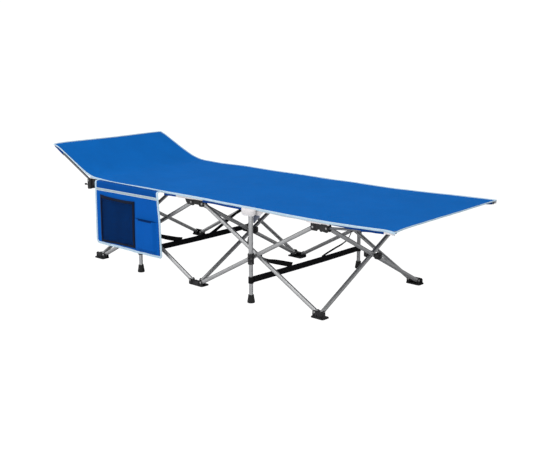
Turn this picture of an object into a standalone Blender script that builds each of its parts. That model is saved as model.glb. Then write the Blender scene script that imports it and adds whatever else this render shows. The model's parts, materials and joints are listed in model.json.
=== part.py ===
"""Folding camp bed: a steel scissor frame in two bays, four upright poles,
swing-out end rods, a canvas deck, tie straps and a hanging side organiser.

Metres, +Z up.  +X runs to the foot end, -X to the raised head end, -Y is the
near long side, the one with the organiser.  The floor is z = 0.
"""

import math

import bmesh
import bpy
from mathutils import Matrix, Vector

# ---------------------------------------------------------------- dimensions
CENTRE_Y = 0.00925  # the frame's centre line; the organiser widens the near side
X0, X2, X4 = -0.662, -0.022, 0.618  # head, middle and foot stations
X1, X3 = -0.3425, 0.2985  # the side crossings, where the poles stand
PIVOT_LOW, PIVOT_HIGH = 0.018, 0.336  # heights of the scissor pivots
PIVOT_MID = (PIVOT_LOW + PIVOT_HIGH) / 2
V_OUTER, V_INNER = 0.3104, 0.2936  # the two planes of the side tubes
V_CROSS = 0.2895  # end pivots of the cross tubes
U_CROSS = 0.0084  # planes of the cross tubes, each side of a station
U_MID, U_END = 0.031, 0.030  # side pivots, from the middle and end stations
TUBE_R, TUBE_WALL, TUBE_STUB = 0.008, 0.0012, 0.0065
SPAN, RISE = 2 * V_CROSS, PIVOT_HIGH - PIVOT_LOW
TUBE_PIVOTS = math.hypot(SPAN, RISE)  # pivot to pivot
TILT = math.atan2(RISE, SPAN)
PIN_R, HOLE_R = 0.0024, 0.0029
EAR_GAP, EAR_T, EAR_R = 0.0084, 0.0025, 0.007  # tube centre to ear, ear size
HEAD_R, HEAD_T = 0.0045, 0.0016
PLATE_T = 0.005
TOP_UNDER, TOP_OVER = 0.353, 0.358  # the roof plate of a top hub
SKIRT = 0.3235  # lowest edge of a top hub's cheek
CHEEK_TOP = 0.0255  # highest edge of a foot's cheek
POLE_V = 0.332
POLE_LOW_R, POLE_HIGH_R, POLE_BORE = 0.00775, 0.0085, 0.0065
POLE_BOTTOM, POLE_STEP, POLE_TOP = 0.0065, 0.160, 0.356
COLLAR_BORE, COLLAR_LOW_R, COLLAR_HIGH_R = 0.0090, 0.0119, 0.0125
COLLAR_Z = (0.150, 0.168, 0.190)
ROD_R, ROD_BORE, ROD_V = 0.0045, 0.0031, 0.3145
ROD_U, HEAD_ROD_U = 0.036, 0.0295  # hinge pins, out from the foot and head stations
ROD_PIN_R, ROD_HOLE_R = 0.0018, 0.0022
HEAD_ROD_Z, HEAD_ROD_TIP = 0.348, (-0.940, 0.4765)
FOOT_ROD_Z, FOOT_ROD_TIP = 0.3405, (0.940, 0.3715)
DECK_V, DECK_T, DECK_Z = 0.325, 0.003, 0.365  # half width, cloth solid, mid height
DECK_END = 0.950
HEAD_BEND, HEAD_TOP = (-0.716, 0.3710), 0.4885
FOOT_TOP = 0.3815
SADDLE_IN, SADDLE_OUT, SADDLE_HEAD, SADDLE_MID = 0.041, 0.050, 0.040, 0.040
SEAM = 0.0004
STRAP_T, STRAP_Z = 0.0016, (0.0755, 0.1005)
ORG_X, ORG_Z, ORG_V = (-0.600, -0.200), (0.092, 0.367), (0.3495, 0.3525)
ORG_FRONT, ORG_WALL = 0.3650, 0.0016
POUCH_A_X, POUCH_A_Z = (-0.586, -0.3560), (0.104, 0.309)
POUCH_B_X, POUCH_B_Z = (-0.3515, -0.206), (0.104, 0.235)


# ------------------------------------------------------------------- scene
for old in list(bpy.data.objects):
    bpy.data.objects.remove(old, do_unlink=True)
bed = bpy.data.collections.new("folding_camp_bed")
shop = bpy.data.collections.new("construction")
shop.hide_render = True
bpy.context.scene.collection.children.link(bed)
bpy.context.scene.collection.children.link(shop)


def material(name, colour, roughness, metallic=0.0):
    made = bpy.data.materials.new(name)
    made.use_nodes = True
    made.diffuse_color = (*colour, 1)
    shader = made.node_tree.nodes["Principled BSDF"]
    shader.inputs["Base Color"].default_value = (*colour, 1)
    shader.inputs["Roughness"].default_value = roughness
    shader.inputs["Metallic"].default_value = metallic
    return made


STEEL = material("tube_steel", (0.62, 0.63, 0.64), 0.32, 1.0)
MOULDING = material("black_moulding", (0.022, 0.022, 0.024), 0.48)
RUBBER = material("black_rubber", (0.018, 0.018, 0.018), 0.78)
CANVAS = material("blue_canvas", (0.004, 0.112, 0.420), 0.86)
WEBBING = material("black_webbing", (0.020, 0.020, 0.022), 0.9)
MESH_CLOTH = material("organiser_cloth", (0.004, 0.090, 0.330), 0.88)


# ------------------------------------------------------------- solid helpers
def world(x, y, z):
    """A point given from the frame's centre line."""
    return Vector((x, CENTRE_Y + y, z))


def mesh_object(mesh, name="piece"):
    made = bpy.data.objects.new(name, mesh)
    shop.objects.link(made)
    made.hide_render = True
    made.display_type = "WIRE"
    return made


def from_bmesh(bm):
    bmesh.ops.recalc_face_normals(bm, faces=bm.faces)
    mesh = bpy.data.meshes.new("piece")
    bm.to_mesh(mesh)
    bm.free()
    return mesh_object(mesh)


def evaluated_mesh(obj):
    """The object's shape with its modifiers, in world space."""
    bpy.context.view_layer.update()
    graph = bpy.context.evaluated_depsgraph_get()
    mesh = bpy.data.meshes.new_from_object(obj.evaluated_get(graph))
    mesh.transform(obj.matrix_world)
    return mesh


def block(x, y, z):
    """A box between the limits of x, y and z, given from the centre line."""
    bm = bmesh.new()
    bmesh.ops.create_cube(bm, size=1.0)
    size = [abs(side[1] - side[0]) for side in (x, y, z)]
    middle = world(*[(side[0] + side[1]) / 2 for side in (x, y, z)])
    bmesh.ops.scale(bm, vec=size, verts=bm.verts)
    bmesh.ops.translate(bm, vec=middle, verts=bm.verts)
    return from_bmesh(bm)


AXES = {
    "X": Matrix(((0, 0, 1), (0, 1, 0), (-1, 0, 0))).to_4x4(),
    "Y": Matrix(((1, 0, 0), (0, 0, 1), (0, -1, 0))).to_4x4(),
    "Z": Matrix.Identity(4),
}


def drum(axis, start, end, across, radius, sides=8):
    """A cylinder along an axis, from start to end; across is the other two
    coordinates, in X, Y, Z order, given from the centre line."""
    bm = bmesh.new()
    bmesh.ops.create_cone(
        bm, cap_ends=True, segments=sides, radius1=radius, radius2=radius,
        depth=abs(end - start),
    )
    turn = Matrix.Rotation(math.pi / sides, 4, "Z")
    bmesh.ops.transform(bm, matrix=AXES[axis] @ turn, verts=bm.verts)
    middle = (start + end) / 2
    place = {
        "X": (middle, across[0], across[1]),
        "Y": (across[0], middle, across[1]),
        "Z": (across[0], across[1], middle),
    }[axis]
    bmesh.ops.translate(bm, vec=world(*place), verts=bm.verts)
    return from_bmesh(bm)


def outline(plane, points, low, high):
    """A flat outline in a plane, XZ or YZ, given thickness from low to high."""
    curve = bpy.data.curves.new("outline", "CURVE")
    curve.dimensions = "2D"
    curve.fill_mode = "BOTH"
    curve.extrude = abs(high - low) / 2
    spline = curve.splines.new("POLY")
    spline.points.add(len(points) - 1)
    spline.use_cyclic_u = True
    for point, (a, b) in zip(spline.points, points):
        point.co = (a, b, 0, 1)
    obj = bpy.data.objects.new("outline", curve)
    shop.objects.link(obj)
    middle = (low + high) / 2
    if plane == "XZ":
        turn = Matrix(((1, 0, 0), (0, 0, -1), (0, 1, 0))).to_4x4()
        obj.matrix_world = Matrix.Translation(world(0, middle, 0)) @ turn
    else:
        turn = Matrix(((0, 0, 1), (1, 0, 0), (0, 1, 0))).to_4x4()
        obj.matrix_world = Matrix.Translation(world(middle, 0, 0)) @ turn
    mesh = evaluated_mesh(obj)
    bpy.data.objects.remove(obj, do_unlink=True)
    bm = bmesh.new()
    bm.from_mesh(mesh)
    bpy.data.meshes.remove(mesh)
    bmesh.ops.remove_doubles(bm, verts=bm.verts, dist=0.00001)
    return from_bmesh(bm)


def turned(profile, sides=12):
    """A profile of (radius, height) swept round Z; on its outer side it runs
    from the top down."""
    bm = bmesh.new()
    verts = [bm.verts.new((radius, 0, height)) for radius, height in profile]
    closed = profile[0][0] > 0
    count = len(verts)
    for i in range(count if closed else count - 1):
        bm.edges.new((verts[i], verts[(i + 1) % count]))
    mesh = bpy.data.meshes.new("profile")
    bm.to_mesh(mesh)
    bm.free()
    obj = mesh_object(mesh)
    screw = obj.modifiers.new("turn", "SCREW")
    screw.steps = screw.render_steps = sides
    screw.use_merge_vertices = True
    screw.merge_threshold = 0.00001
    screw.use_normal_calculate = True
    swept = evaluated_mesh(obj)
    bpy.data.objects.remove(obj, do_unlink=True)
    bm = bmesh.new()
    bm.from_mesh(swept)
    bpy.data.meshes.remove(swept)
    bmesh.ops.remove_doubles(bm, verts=bm.verts, dist=0.000001)
    return from_bmesh(bm)


def moved(obj, offset):
    obj.data.transform(Matrix.Translation(offset))
    return obj


def fused(parts, cuts=()):
    """One mesh: the union of the parts, less the cuts."""
    base = parts[0]
    for kind, others in (("UNION", parts[1:]), ("DIFFERENCE", cuts)):
        for other in others:
            boolean = base.modifiers.new(kind.lower(), "BOOLEAN")
            boolean.operation = kind
            boolean.solver = "EXACT"
            boolean.object = other
    mesh = evaluated_mesh(base)
    for obj in (*parts, *cuts):
        bpy.data.objects.remove(obj, do_unlink=True)
    bm = bmesh.new()
    bm.from_mesh(mesh)
    bmesh.ops.remove_doubles(bm, verts=bm.verts, dist=0.000001)
    bmesh.ops.dissolve_limit(
        bm, angle_limit=math.radians(0.2), verts=bm.verts, edges=bm.edges
    )
    bm.to_mesh(mesh)
    bm.free()
    return mesh


def node(name, mesh, origin, finish, smooth=None):
    """A finished sub-part, with its origin on its joint's axis."""
    mesh.name = name
    mesh.transform(Matrix.Translation(-origin))
    mesh.materials.clear()
    mesh.materials.append(finish)
    if smooth:
        mesh.shade_smooth()
        mesh.set_sharp_from_angle(angle=math.radians(smooth))
    made = bpy.data.objects.new(name, mesh)
    bed.objects.link(made)
    made.location = origin
    return made


def round_end(centre, base, radius, steps=4):
    """Outline of a tongue that rises (or hangs) from height base and ends in
    a half circle round the pivot at centre (a, z)."""
    a, z = centre
    up = 1 if z > base else -1
    points = [(a - radius, base), (a + radius, base)]
    for i in range(steps + 1):
        angle = math.pi * i / steps
        points.append((a + radius * math.cos(angle), z + up * radius * math.sin(angle)))
    return points


def soft_box(a, z, corner, top=True):
    """Outline of a rectangle whose two upper (or lower) corners are rounded."""
    (a0, a1), (z0, z1) = a, z
    if not top:
        z0, z1 = z1, z0
    way = 1 if z1 > z0 else -1
    points = [(a0, z0), (a1, z0)]
    for cx, start in ((a1 - corner, 0.0), (a0 + corner, math.pi / 2)):
        for i in range(3):
            angle = start + math.pi / 4 * i
            points.append(
                (
                    cx + corner * math.cos(angle),
                    z1 - way * corner + way * corner * math.sin(angle),
                )
            )
    return points


# -------------------------------------------------------------------- tubes
def tube_mesh():
    """The tube that all fourteen scissor members share: its lower pivot is at
    the origin, it runs up local Z, and its three holes lie along local X."""
    high, low = TUBE_PIVOTS + TUBE_STUB, -TUBE_STUB
    bore = TUBE_R - TUBE_WALL
    tube = turned([(TUBE_R, high), (TUBE_R, low), (bore, low), (bore, high)])
    holes = []
    for height in (0, TUBE_PIVOTS / 2, TUBE_PIVOTS):
        hole = drum("X", -0.012, 0.012, (-CENTRE_Y, height), HOLE_R, 6)
        holes.append(hole)
    mesh = fused([tube], holes)
    mesh.name = "scissor_tube"
    mesh.materials.append(STEEL)
    mesh.shade_smooth()
    mesh.set_sharp_from_angle(angle=math.radians(40))
    return mesh


SHARED_TUBE = tube_mesh()


def tube(name, low, high):
    """A scissor tube from its lower pivot to its upper one."""
    along = (high - low).normalized()
    pin = Vector((0, 1, 0)) if abs(along.x) > 0.1 else Vector((1, 0, 0))
    side = along.cross(pin)
    turn = Matrix((pin, side, along)).transposed().to_4x4()
    made = bpy.data.objects.new(name, SHARED_TUBE)
    bed.objects.link(made)
    made.matrix_world = Matrix.Translation(low) @ turn
    return made


def side_tube(name, near, middle_low, end, plane):
    """A tube of a long side, between the middle station and an end one."""
    out = 1 if end > X2 else -1
    y = near * plane
    at_middle = X2 + out * U_MID
    at_end = end - out * U_END
    low, high = (at_middle, at_end) if middle_low else (at_end, at_middle)
    return tube(name, world(low, y, PIVOT_LOW), world(high, y, PIVOT_HIGH))


def cross_tube(name, station, offset, low_side):
    """A tube across the bed, low on one side and high on the other."""
    x = station + offset
    return tube(
        name,
        world(x, low_side * V_CROSS, PIVOT_LOW),
        world(x, -low_side * V_CROSS, PIVOT_HIGH),
    )


NEAR, FAR = -1, 1
side_tube("side_tube_near_middle_foot_to_foot_end_hub", NEAR, True, X4, V_OUTER)
side_tube("side_tube_near_middle_foot_to_head_end_hub", NEAR, True, X0, V_OUTER)
side_tube("side_tube_near_middle_hub_to_foot_end_foot", NEAR, False, X4, V_INNER)
side_tube("side_tube_near_middle_hub_to_head_end_foot", NEAR, False, X0, V_INNER)
side_tube("side_tube_far_middle_foot_to_foot_end_hub", FAR, True, X4, V_OUTER)
side_tube("side_tube_far_middle_foot_to_head_end_hub", FAR, True, X0, V_OUTER)
side_tube("side_tube_far_middle_hub_to_foot_end_foot", FAR, False, X4, V_INNER)
side_tube("side_tube_far_middle_hub_to_head_end_foot", FAR, False, X0, V_INNER)
cross_tube("cross_tube_middle_low_near", X2, U_CROSS, NEAR)
cross_tube("cross_tube_middle_low_far", X2, -U_CROSS, FAR)
cross_tube("cross_tube_foot_end_low_near", X4, -U_CROSS, NEAR)
cross_tube("cross_tube_foot_end_low_far", X4, U_CROSS, FAR)
cross_tube("cross_tube_head_end_low_near", X0, U_CROSS, NEAR)
cross_tube("cross_tube_head_end_low_far", X0, -U_CROSS, FAR)


# --------------------------------------------------------------------- hubs
class Hub:
    """Collects the solids of a foot or a top hub.  u runs outwards along X
    from the hub's station and v outwards across the bed from its centre line,
    so one description serves the mirrored hubs."""

    def __init__(self, station, sx, sy):
        self.station, self.sx, self.sy, self.solids = station, sx, sy, []

    def x(self, u):
        return self.station + self.sx * u

    def span_x(self, u):
        return sorted(self.x(value) for value in u)

    def span_y(self, v):
        return sorted(self.sy * value for value in v)

    def block(self, u, v, z):
        self.solids.append(block(self.span_x(u), self.span_y(v), z))

    def plate_xz(self, points, v):
        self.solids.append(
            outline("XZ", [(self.x(a), b) for a, b in points], *self.span_y(v))
        )

    def plate_yz(self, points, u):
        self.solids.append(
            outline("YZ", [(self.sy * a, b) for a, b in points], *self.span_x(u))
        )

    def pin_y(self, u, v, z, radius=PIN_R, sides=8):
        self.solids.append(
            drum("Y", *self.span_y(v), (self.x(u), z), radius, sides)
        )

    def pin_x(self, u, v, z, radius=PIN_R, sides=8):
        self.solids.append(
            drum("X", *self.span_x(u), (self.sy * v, z), radius, sides)
        )


def hub(name, station, sx, sy, top, sides, plane, cross, plate_u, cheek_t, extra=None,
        inner_head=True, outer_head=True):
    """A foot or a top hub.  sides are the u of its side pivots, plane the v of
    their tubes, cross the u of its cross tube."""
    made = Hub(station, sx, sy)
    z = PIVOT_HIGH if top else PIVOT_LOW
    base = TOP_UNDER + 0.001 if top else PLATE_T - 0.001
    face = plane + EAR_GAP + cheek_t
    plate_z = (TOP_UNDER, TOP_OVER) if top else (0, PLATE_T)
    cheek_z = (SKIRT, TOP_OVER - 0.0008) if top else (0.0008, CHEEK_TOP)
    v_in = 0.2790
    made.block(plate_u, (v_in, face if top else max(face, 0.3185)), plate_z)
    # the outer cheek carries the outer end of each side pin
    u_low = plate_u[0] + 0.0012
    u_high = plate_u[1] - 0.0012
    made.plate_xz(
        soft_box((u_low, u_high), cheek_z, 0.006, top=not top),
        (plane + EAR_GAP, face - 0.0002),
    )
    for u in sides:
        made.plate_xz(
            round_end((u, z), base, EAR_R), (plane - EAR_GAP - EAR_T, plane - EAR_GAP)
        )
        made.pin_y(u, (plane - EAR_GAP - 0.001, plane + EAR_GAP + 0.001), z)
        made.pin_y(u, (face - 0.001, face + HEAD_T), z, HEAD_R)
        made.pin_y(
            u, (plane - EAR_GAP - EAR_T - HEAD_T, plane - EAR_GAP - 0.001), z, HEAD_R
        )
    # the cross tube's two ears
    for way, rivet in ((-1, inner_head), (1, outer_head)):
        ear = sorted((cross + way * EAR_GAP, cross + way * (EAR_GAP + EAR_T)))
        made.plate_yz(round_end((V_CROSS, z), base, EAR_R), ear)
        if rivet:
            out = sorted(
                (cross + way * (EAR_GAP + 0.001), cross + way * (EAR_GAP + EAR_T + HEAD_T))
            )
            made.pin_x(out, V_CROSS, z, HEAD_R)
    made.pin_x((cross - EAR_GAP - 0.001, cross + EAR_GAP + 0.001), V_CROSS, z)
    if len(sides) == 1:
        # the end cheek closes the corner, out to the side cheek
        made.plate_yz(
            soft_box((V_CROSS + 0.002, face - 0.0008), cheek_z, 0.005, top=not top),
            (cross + EAR_GAP + 0.0002, cross + EAR_GAP + EAR_T - 0.0002),
        )
    # web behind the side cheek
    web_u = (-0.0155, 0.0155) if len(sides) == 2 else (-0.0150, plate_u[1] - 0.0022)
    web_z = (SKIRT + 0.006, TOP_UNDER + 0.002) if top else (PLATE_T - 0.002, CHEEK_TOP - 0.006)
    made.block(web_u, (0.3030, face - 0.0010), web_z)
    if extra:
        extra(made)
    origin = world(made.x(cross), sy * V_CROSS, z)
    if len(sides) == 1:
        origin = world(made.x(sides[0]), sy * plane, z)
    return node(name, fused(made.solids), origin, MOULDING)


MID_PLATE, END_PLATE = (-0.0385, 0.0385), (-0.0400, 0.0200)
TOP_MID_PLATE = (-0.0385, 0.0680)
END_PLATE_WIDE = (-0.0400, 0.0260)
TOP_PLATE, TOP_PLATE_FAR = (-0.0400, 0.0240), (-0.0400, 0.0200)
SIDES_MID, SIDE_END = (-U_MID, U_MID), (-U_END,)
THIN, THICK = EAR_T, 0.0055

hub("foot_middle_near", X2, 1, NEAR, False, SIDES_MID, V_OUTER, U_CROSS, MID_PLATE, THIN)
hub("foot_middle_far", X2, -1, FAR, False, SIDES_MID, V_OUTER, U_CROSS, MID_PLATE, THIN)
hub("top_hub_middle_near", X2, -1, NEAR, True, SIDES_MID, V_INNER, U_CROSS,
    TOP_MID_PLATE,
    THICK, outer_head=False)
hub("top_hub_middle_far", X2, 1, FAR, True, SIDES_MID, V_INNER, U_CROSS,
    TOP_MID_PLATE,
    THICK, outer_head=False)
for end_name, end, sx in (("foot_end", X4, 1), ("head_end", X0, -1)):
    hub(f"foot_{end_name}_near", end, sx, NEAR, False, SIDE_END, V_INNER, -U_CROSS,
        END_PLATE, THICK, inner_head=False)
    hub(f"foot_{end_name}_far", end, sx, FAR, False, SIDE_END, V_INNER, U_CROSS,
        END_PLATE_WIDE, THICK)


def rod_housing(rod_u, rod_z, low, high, reach):
    """Two cheeks outboard of a top hub that hold an end rod's hinge pin."""

    def add(made):
        ends = [(0.0120, low + 0.003), (reach - 0.007, low), (reach, low + 0.007),
                (reach, high - 0.007), (reach - 0.007, high), (0.0120, high)]
        made.plate_xz(ends, (0.3200, 0.3262))
        made.plate_xz(ends, (0.3045, 0.3090))
        made.block((0.0110, 0.0215), (0.3040, 0.3255), (low + 0.004, TOP_OVER - 0.0004))
        made.pin_y(rod_u, (0.3065, 0.3225), rod_z, ROD_PIN_R)
        made.pin_y(rod_u, (0.3252, 0.3278), rod_z, 0.0040)

    return add


for end_name, end, sx, add in (
    ("foot_end", X4, 1, rod_housing(ROD_U, FOOT_ROD_Z, 0.3250, 0.3545, 0.0430)),
    ("head_end", X0, -1, rod_housing(HEAD_ROD_U, HEAD_ROD_Z, 0.3105, 0.3565, 0.0365)),
):
    hub(f"top_hub_{end_name}_near", end, sx, NEAR, True, SIDE_END, V_OUTER, U_CROSS,
        TOP_PLATE, THIN, extra=add)
    hub(f"top_hub_{end_name}_far", end, sx, FAR, True, SIDE_END, V_OUTER, -U_CROSS,
        TOP_PLATE_FAR, THIN, extra=add, inner_head=False)

# release knobs on the head end's rod housings
for side_name, side in (("near", NEAR), ("far", FAR)):
    origin = world(X0 - HEAD_ROD_U, side * ROD_V, HEAD_ROD_Z)
    neck = turned([(0, 0.0180), (0.0036, 0.0180), (0.0044, 0.0165), (0.0044, 0.0110),
                   (0.0036, 0.0092), (0.0022, 0.0085), (0.0022, 0), (0, 0)], 10)
    neck.data.transform(Matrix.Rotation(-math.pi / 2, 4, "Y"))
    neck.data.transform(Matrix.Translation(world(X0 - 0.0368, side * 0.3250, 0.3300)))
    node(f"release_knob_{side_name}", fused([neck]), origin, MOULDING, 40)


# --------------------------------------------------------------- cross hubs
def cross_hub(name, station):
    """Two mouldings that clamp a crossing between them on one bolt."""
    cup = []
    for i in range(9):
        angle = math.pi * i / 8
        cup.append((-0.016 * math.cos(angle), PIVOT_MID - 0.0025 - 0.010 * math.sin(angle)))
    shape = [(0.016, PIVOT_MID + 0.0095), (0.013, PIVOT_MID + 0.0125),
             (-0.013, PIVOT_MID + 0.0125), (-0.016, PIVOT_MID + 0.0095)] + cup
    solids = []
    for way in (-1, 1):
        near, far = sorted((station + way * 0.0170, station + way * 0.0320))
        solids.append(outline("YZ", shape, near, far))
    solids.append(drum("X", station - 0.0300, station + 0.0300, (0, PIVOT_MID), PIN_R))
    solids.append(drum("X", station + 0.0310, station + 0.0360, (0, PIVOT_MID), 0.0060, 6))
    solids.append(drum("X", station - 0.0350, station - 0.0310, (0, PIVOT_MID), 0.0056, 6))
    return node(name, fused(solids), world(station, 0, PIVOT_MID), MOULDING)


cross_hub("cross_hub_middle", X2)
cross_hub("cross_hub_foot_end", X4)
cross_hub("cross_hub_head_end", X0)


# -------------------------------------------------------------------- poles
def pole_set(label, x, side):
    """An upright pole with its crossing collar and its rubber foot."""
    axis = world(x, side * POLE_V, 0)
    pivot = world(x, side * POLE_V, PIVOT_MID)
    shaft = turned([
        (POLE_HIGH_R, POLE_TOP), (POLE_HIGH_R, POLE_STEP), (POLE_LOW_R, POLE_STEP - 0.001),
        (POLE_LOW_R, POLE_BOTTOM), (POLE_BORE, POLE_BOTTOM), (POLE_BORE, POLE_TOP)])
    node(f"pole_{label}", fused([moved(shaft, axis)]), pivot, STEEL, 40)
    low, waist, high = COLLAR_Z
    ring = moved(turned([
        (COLLAR_HIGH_R, high), (COLLAR_HIGH_R, waist), (COLLAR_LOW_R, waist - 0.001),
        (COLLAR_LOW_R, low), (COLLAR_BORE, low), (COLLAR_BORE, high)]), axis)

    def across(start, end, radius, sides=8):
        limits = sorted((side * start, side * end))
        return drum("Y", *limits, (x, PIVOT_MID), radius, sides)

    collar = fused([
        ring, across(0.3225, 0.3190, 0.0080, 10), across(0.3220, 0.2840, PIN_R),
        across(0.2850, 0.2825, 0.0050)])
    node(f"crossing_collar_{label}", collar, pivot, MOULDING)
    boot = moved(turned([
        (0.0, 0.0062), (0.0083, 0.0062), (0.0083, 0.0310), (0.0110, 0.0310),
        (0.0145, 0.0060), (0.0145, 0.0010), (0.0135, 0.0), (0.0, 0.0)]), axis)
    node(f"pole_foot_{label}", fused([boot]), pivot, RUBBER, 40)


for label, x, side in (
    ("head_bay_near", X1, NEAR), ("head_bay_far", X1, FAR),
    ("foot_bay_near", X3, NEAR), ("foot_bay_far", X3, FAR),
):
    pole_set(label, x, side)


# ----------------------------------------------------------------- end rods
def end_rod(name, pin_x, side, height, tip):
    """A rod that carries a long edge of the cloth beyond the last hub."""
    hinge = world(pin_x, side * ROD_V, height)
    end = world(tip[0], side * ROD_V, tip[1])
    along = end - hinge
    length = along.length
    along.normalize()
    rod = turned([(ROD_R, length), (ROD_R, -0.0055), (ROD_BORE, -0.0055),
                  (ROD_BORE, length)], 10)
    hole = drum("Y", -0.02, 0.02, (0, 0), ROD_HOLE_R, 6)
    hole.data.transform(Matrix.Translation((0, -CENTRE_Y, 0)))
    mesh = fused([rod], [hole])
    pin = Vector((0, 1, 0))
    turn = Matrix((pin.cross(along), pin, along)).transposed().to_4x4()
    mesh.transform(turn)
    mesh.transform(Matrix.Translation(hinge))
    return node(name, mesh, hinge, STEEL, 40)


for side_name, side in (("near", NEAR), ("far", FAR)):
    end_rod(f"head_rod_{side_name}", X0 - HEAD_ROD_U, side, HEAD_ROD_Z, HEAD_ROD_TIP)
    end_rod(f"foot_rod_{side_name}", X4 + ROD_U, side, FOOT_ROD_Z, FOOT_ROD_TIP)


# --------------------------------------------------------------------- deck
def panel(name, x, hinge_x):
    low, high = DECK_Z - DECK_T / 2, DECK_Z + DECK_T / 2
    cloth = block((x[0] + SEAM, x[1] - SEAM), (-DECK_V, DECK_V), (low, high))
    return node(name, fused([cloth]), world(hinge_x, -DECK_V, DECK_Z), CANVAS)


def flap(name, points, hinge):
    """A sloping end of the deck: its line in XZ, given the cloth's thickness."""
    half = DECK_T / 2
    ring = [(x, z + half) for x, z in points] + [(x, z - half) for x, z in reversed(points)]
    return node(name, fused([outline("XZ", ring, -DECK_V, DECK_V)]), hinge, CANVAS)


panel("cloth_saddle_head_end", (X0 - SADDLE_HEAD, X0 + SADDLE_IN), X0)
panel("cloth_panel_head_bay_outer", (X0 + SADDLE_IN, X1), X0 + SADDLE_IN)
panel("cloth_panel_head_bay_inner", (X1, X2 - SADDLE_MID), X2 - SADDLE_MID)
panel("cloth_saddle_middle", (X2 - SADDLE_MID, X2 + SADDLE_MID), X2)
panel("cloth_panel_foot_bay_inner", (X2 + SADDLE_MID, X3), X2 + SADDLE_MID)
panel("cloth_panel_foot_bay_outer", (X3, X4 - SADDLE_IN), X4 - SADDLE_IN)
panel("cloth_saddle_foot_end", (X4 - SADDLE_IN, X4 + SADDLE_OUT), X4)
flap("cloth_flap_head",
     [(X0 - SADDLE_HEAD - SEAM, DECK_Z), HEAD_BEND, (-DECK_END, HEAD_TOP)],
     world(X0 - HEAD_ROD_U, -ROD_V, HEAD_ROD_Z))
flap("cloth_flap_foot",
     [(X4 + SADDLE_OUT + SEAM, DECK_Z), (DECK_END, FOOT_TOP)],
     world(X4 + ROD_U, -ROD_V, FOOT_ROD_Z))


# ------------------------------------------------------------------- straps
def strap(name, x):
    """The webbing between a pair of poles: loops round both poles, the low
    run between them, and the two slanting runs up to the crossings."""
    low, high = STRAP_Z
    solids = []
    for side in (NEAR, FAR):
        loop = turned([(0.0101, high), (0.0101, low), (0.0084, low), (0.0084, high)])
        solids.append(moved(loop, world(x, side * POLE_V, 0)))
    half = STRAP_T / 2
    solids.insert(0, block((x - half, x + half), (-0.3228, 0.3228), (low, high)))
    middle = (low + high) / 2
    for side in (NEAR, FAR):
        run = [(side * 0.2810, PIVOT_MID + 0.011), (side * 0.2810, PIVOT_MID - 0.011),
               (side * 0.1000, middle - 0.0105), (side * 0.0800, middle - 0.0105),
               (side * 0.0800, middle + 0.0105), (side * 0.1000, middle + 0.0105)]
        solids.append(outline("YZ", run, x - half * 0.8, x + half * 0.8))
    return node(name, fused(solids), world(x, -POLE_V, PIVOT_MID), WEBBING)


strap("tie_strap_head_bay", X1)
strap("tie_strap_foot_bay", X3)


# ---------------------------------------------------------------- organiser
def organiser():
    """A hanging panel with two open pouches, sewn along the deck's edge."""
    back, front, wall = ORG_V[1], ORG_FRONT, ORG_WALL

    def place(x, v, z):
        return block(x, (-v[1], -v[0]), z)

    solids = [place(ORG_X, ORG_V, ORG_Z),
              place(ORG_X, (DECK_V + 0.0012, ORG_V[0] + 0.001),
                    (ORG_Z[1] - DECK_T, ORG_Z[1] - 0.0002))]
    for (x0, x1), (z0, z1) in ((POUCH_A_X, POUCH_A_Z), (POUCH_B_X, POUCH_B_Z)):
        solids += [
            place((x0, x1), (front - wall, front), (z0, z1)),
            place((x0 + 0.0002, x0 + wall), (back - 0.001, front - 0.0004), (z0 + 0.0002, z1 - 0.0002)),
            place((x1 - wall, x1 - 0.0002), (back - 0.001, front - 0.0004), (z0 + 0.0002, z1 - 0.0002)),
            place((x0 + 0.0004, x1 - 0.0004), (back - 0.0012, front - 0.0006), (z0 + 0.0001, z0 + wall)),
        ]
    return node("side_organiser", fused(solids),
                world(X0 + SADDLE_IN, -ORG_V[0], ORG_Z[1]), MESH_CLOTH)


organiser()
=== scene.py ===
"""Folding camp bed: the looks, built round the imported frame.

Metres, +Z up.  +X runs to the foot end, -X to the raised head end, -Y is the
near long side, the one with the organiser.  The floor is z = 0.  A position
across the bed, v, is measured from the frame's centre line at y = CENTRE_Y.
"""

import json
import math

import bmesh
import bpy
import numpy as np
from mathutils import Matrix, Vector


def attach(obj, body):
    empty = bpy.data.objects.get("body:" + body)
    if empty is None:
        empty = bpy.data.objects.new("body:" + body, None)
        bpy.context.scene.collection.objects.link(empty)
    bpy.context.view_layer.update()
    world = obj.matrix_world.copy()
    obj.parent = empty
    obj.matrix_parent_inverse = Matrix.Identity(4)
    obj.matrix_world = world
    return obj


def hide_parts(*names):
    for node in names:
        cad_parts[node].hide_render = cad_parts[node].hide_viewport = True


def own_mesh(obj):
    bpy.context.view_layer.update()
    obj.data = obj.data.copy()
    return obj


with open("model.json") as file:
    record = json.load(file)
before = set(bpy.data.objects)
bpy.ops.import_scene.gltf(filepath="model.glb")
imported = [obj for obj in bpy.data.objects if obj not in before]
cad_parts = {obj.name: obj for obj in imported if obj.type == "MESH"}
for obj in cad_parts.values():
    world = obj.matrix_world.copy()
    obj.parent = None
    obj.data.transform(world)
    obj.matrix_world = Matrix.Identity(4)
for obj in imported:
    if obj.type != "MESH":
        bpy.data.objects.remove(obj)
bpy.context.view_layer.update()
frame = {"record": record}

BODY = {n: b for b, ns in frame["record"]["behaviour"]["bodies"].items() for n in ns}

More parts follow.
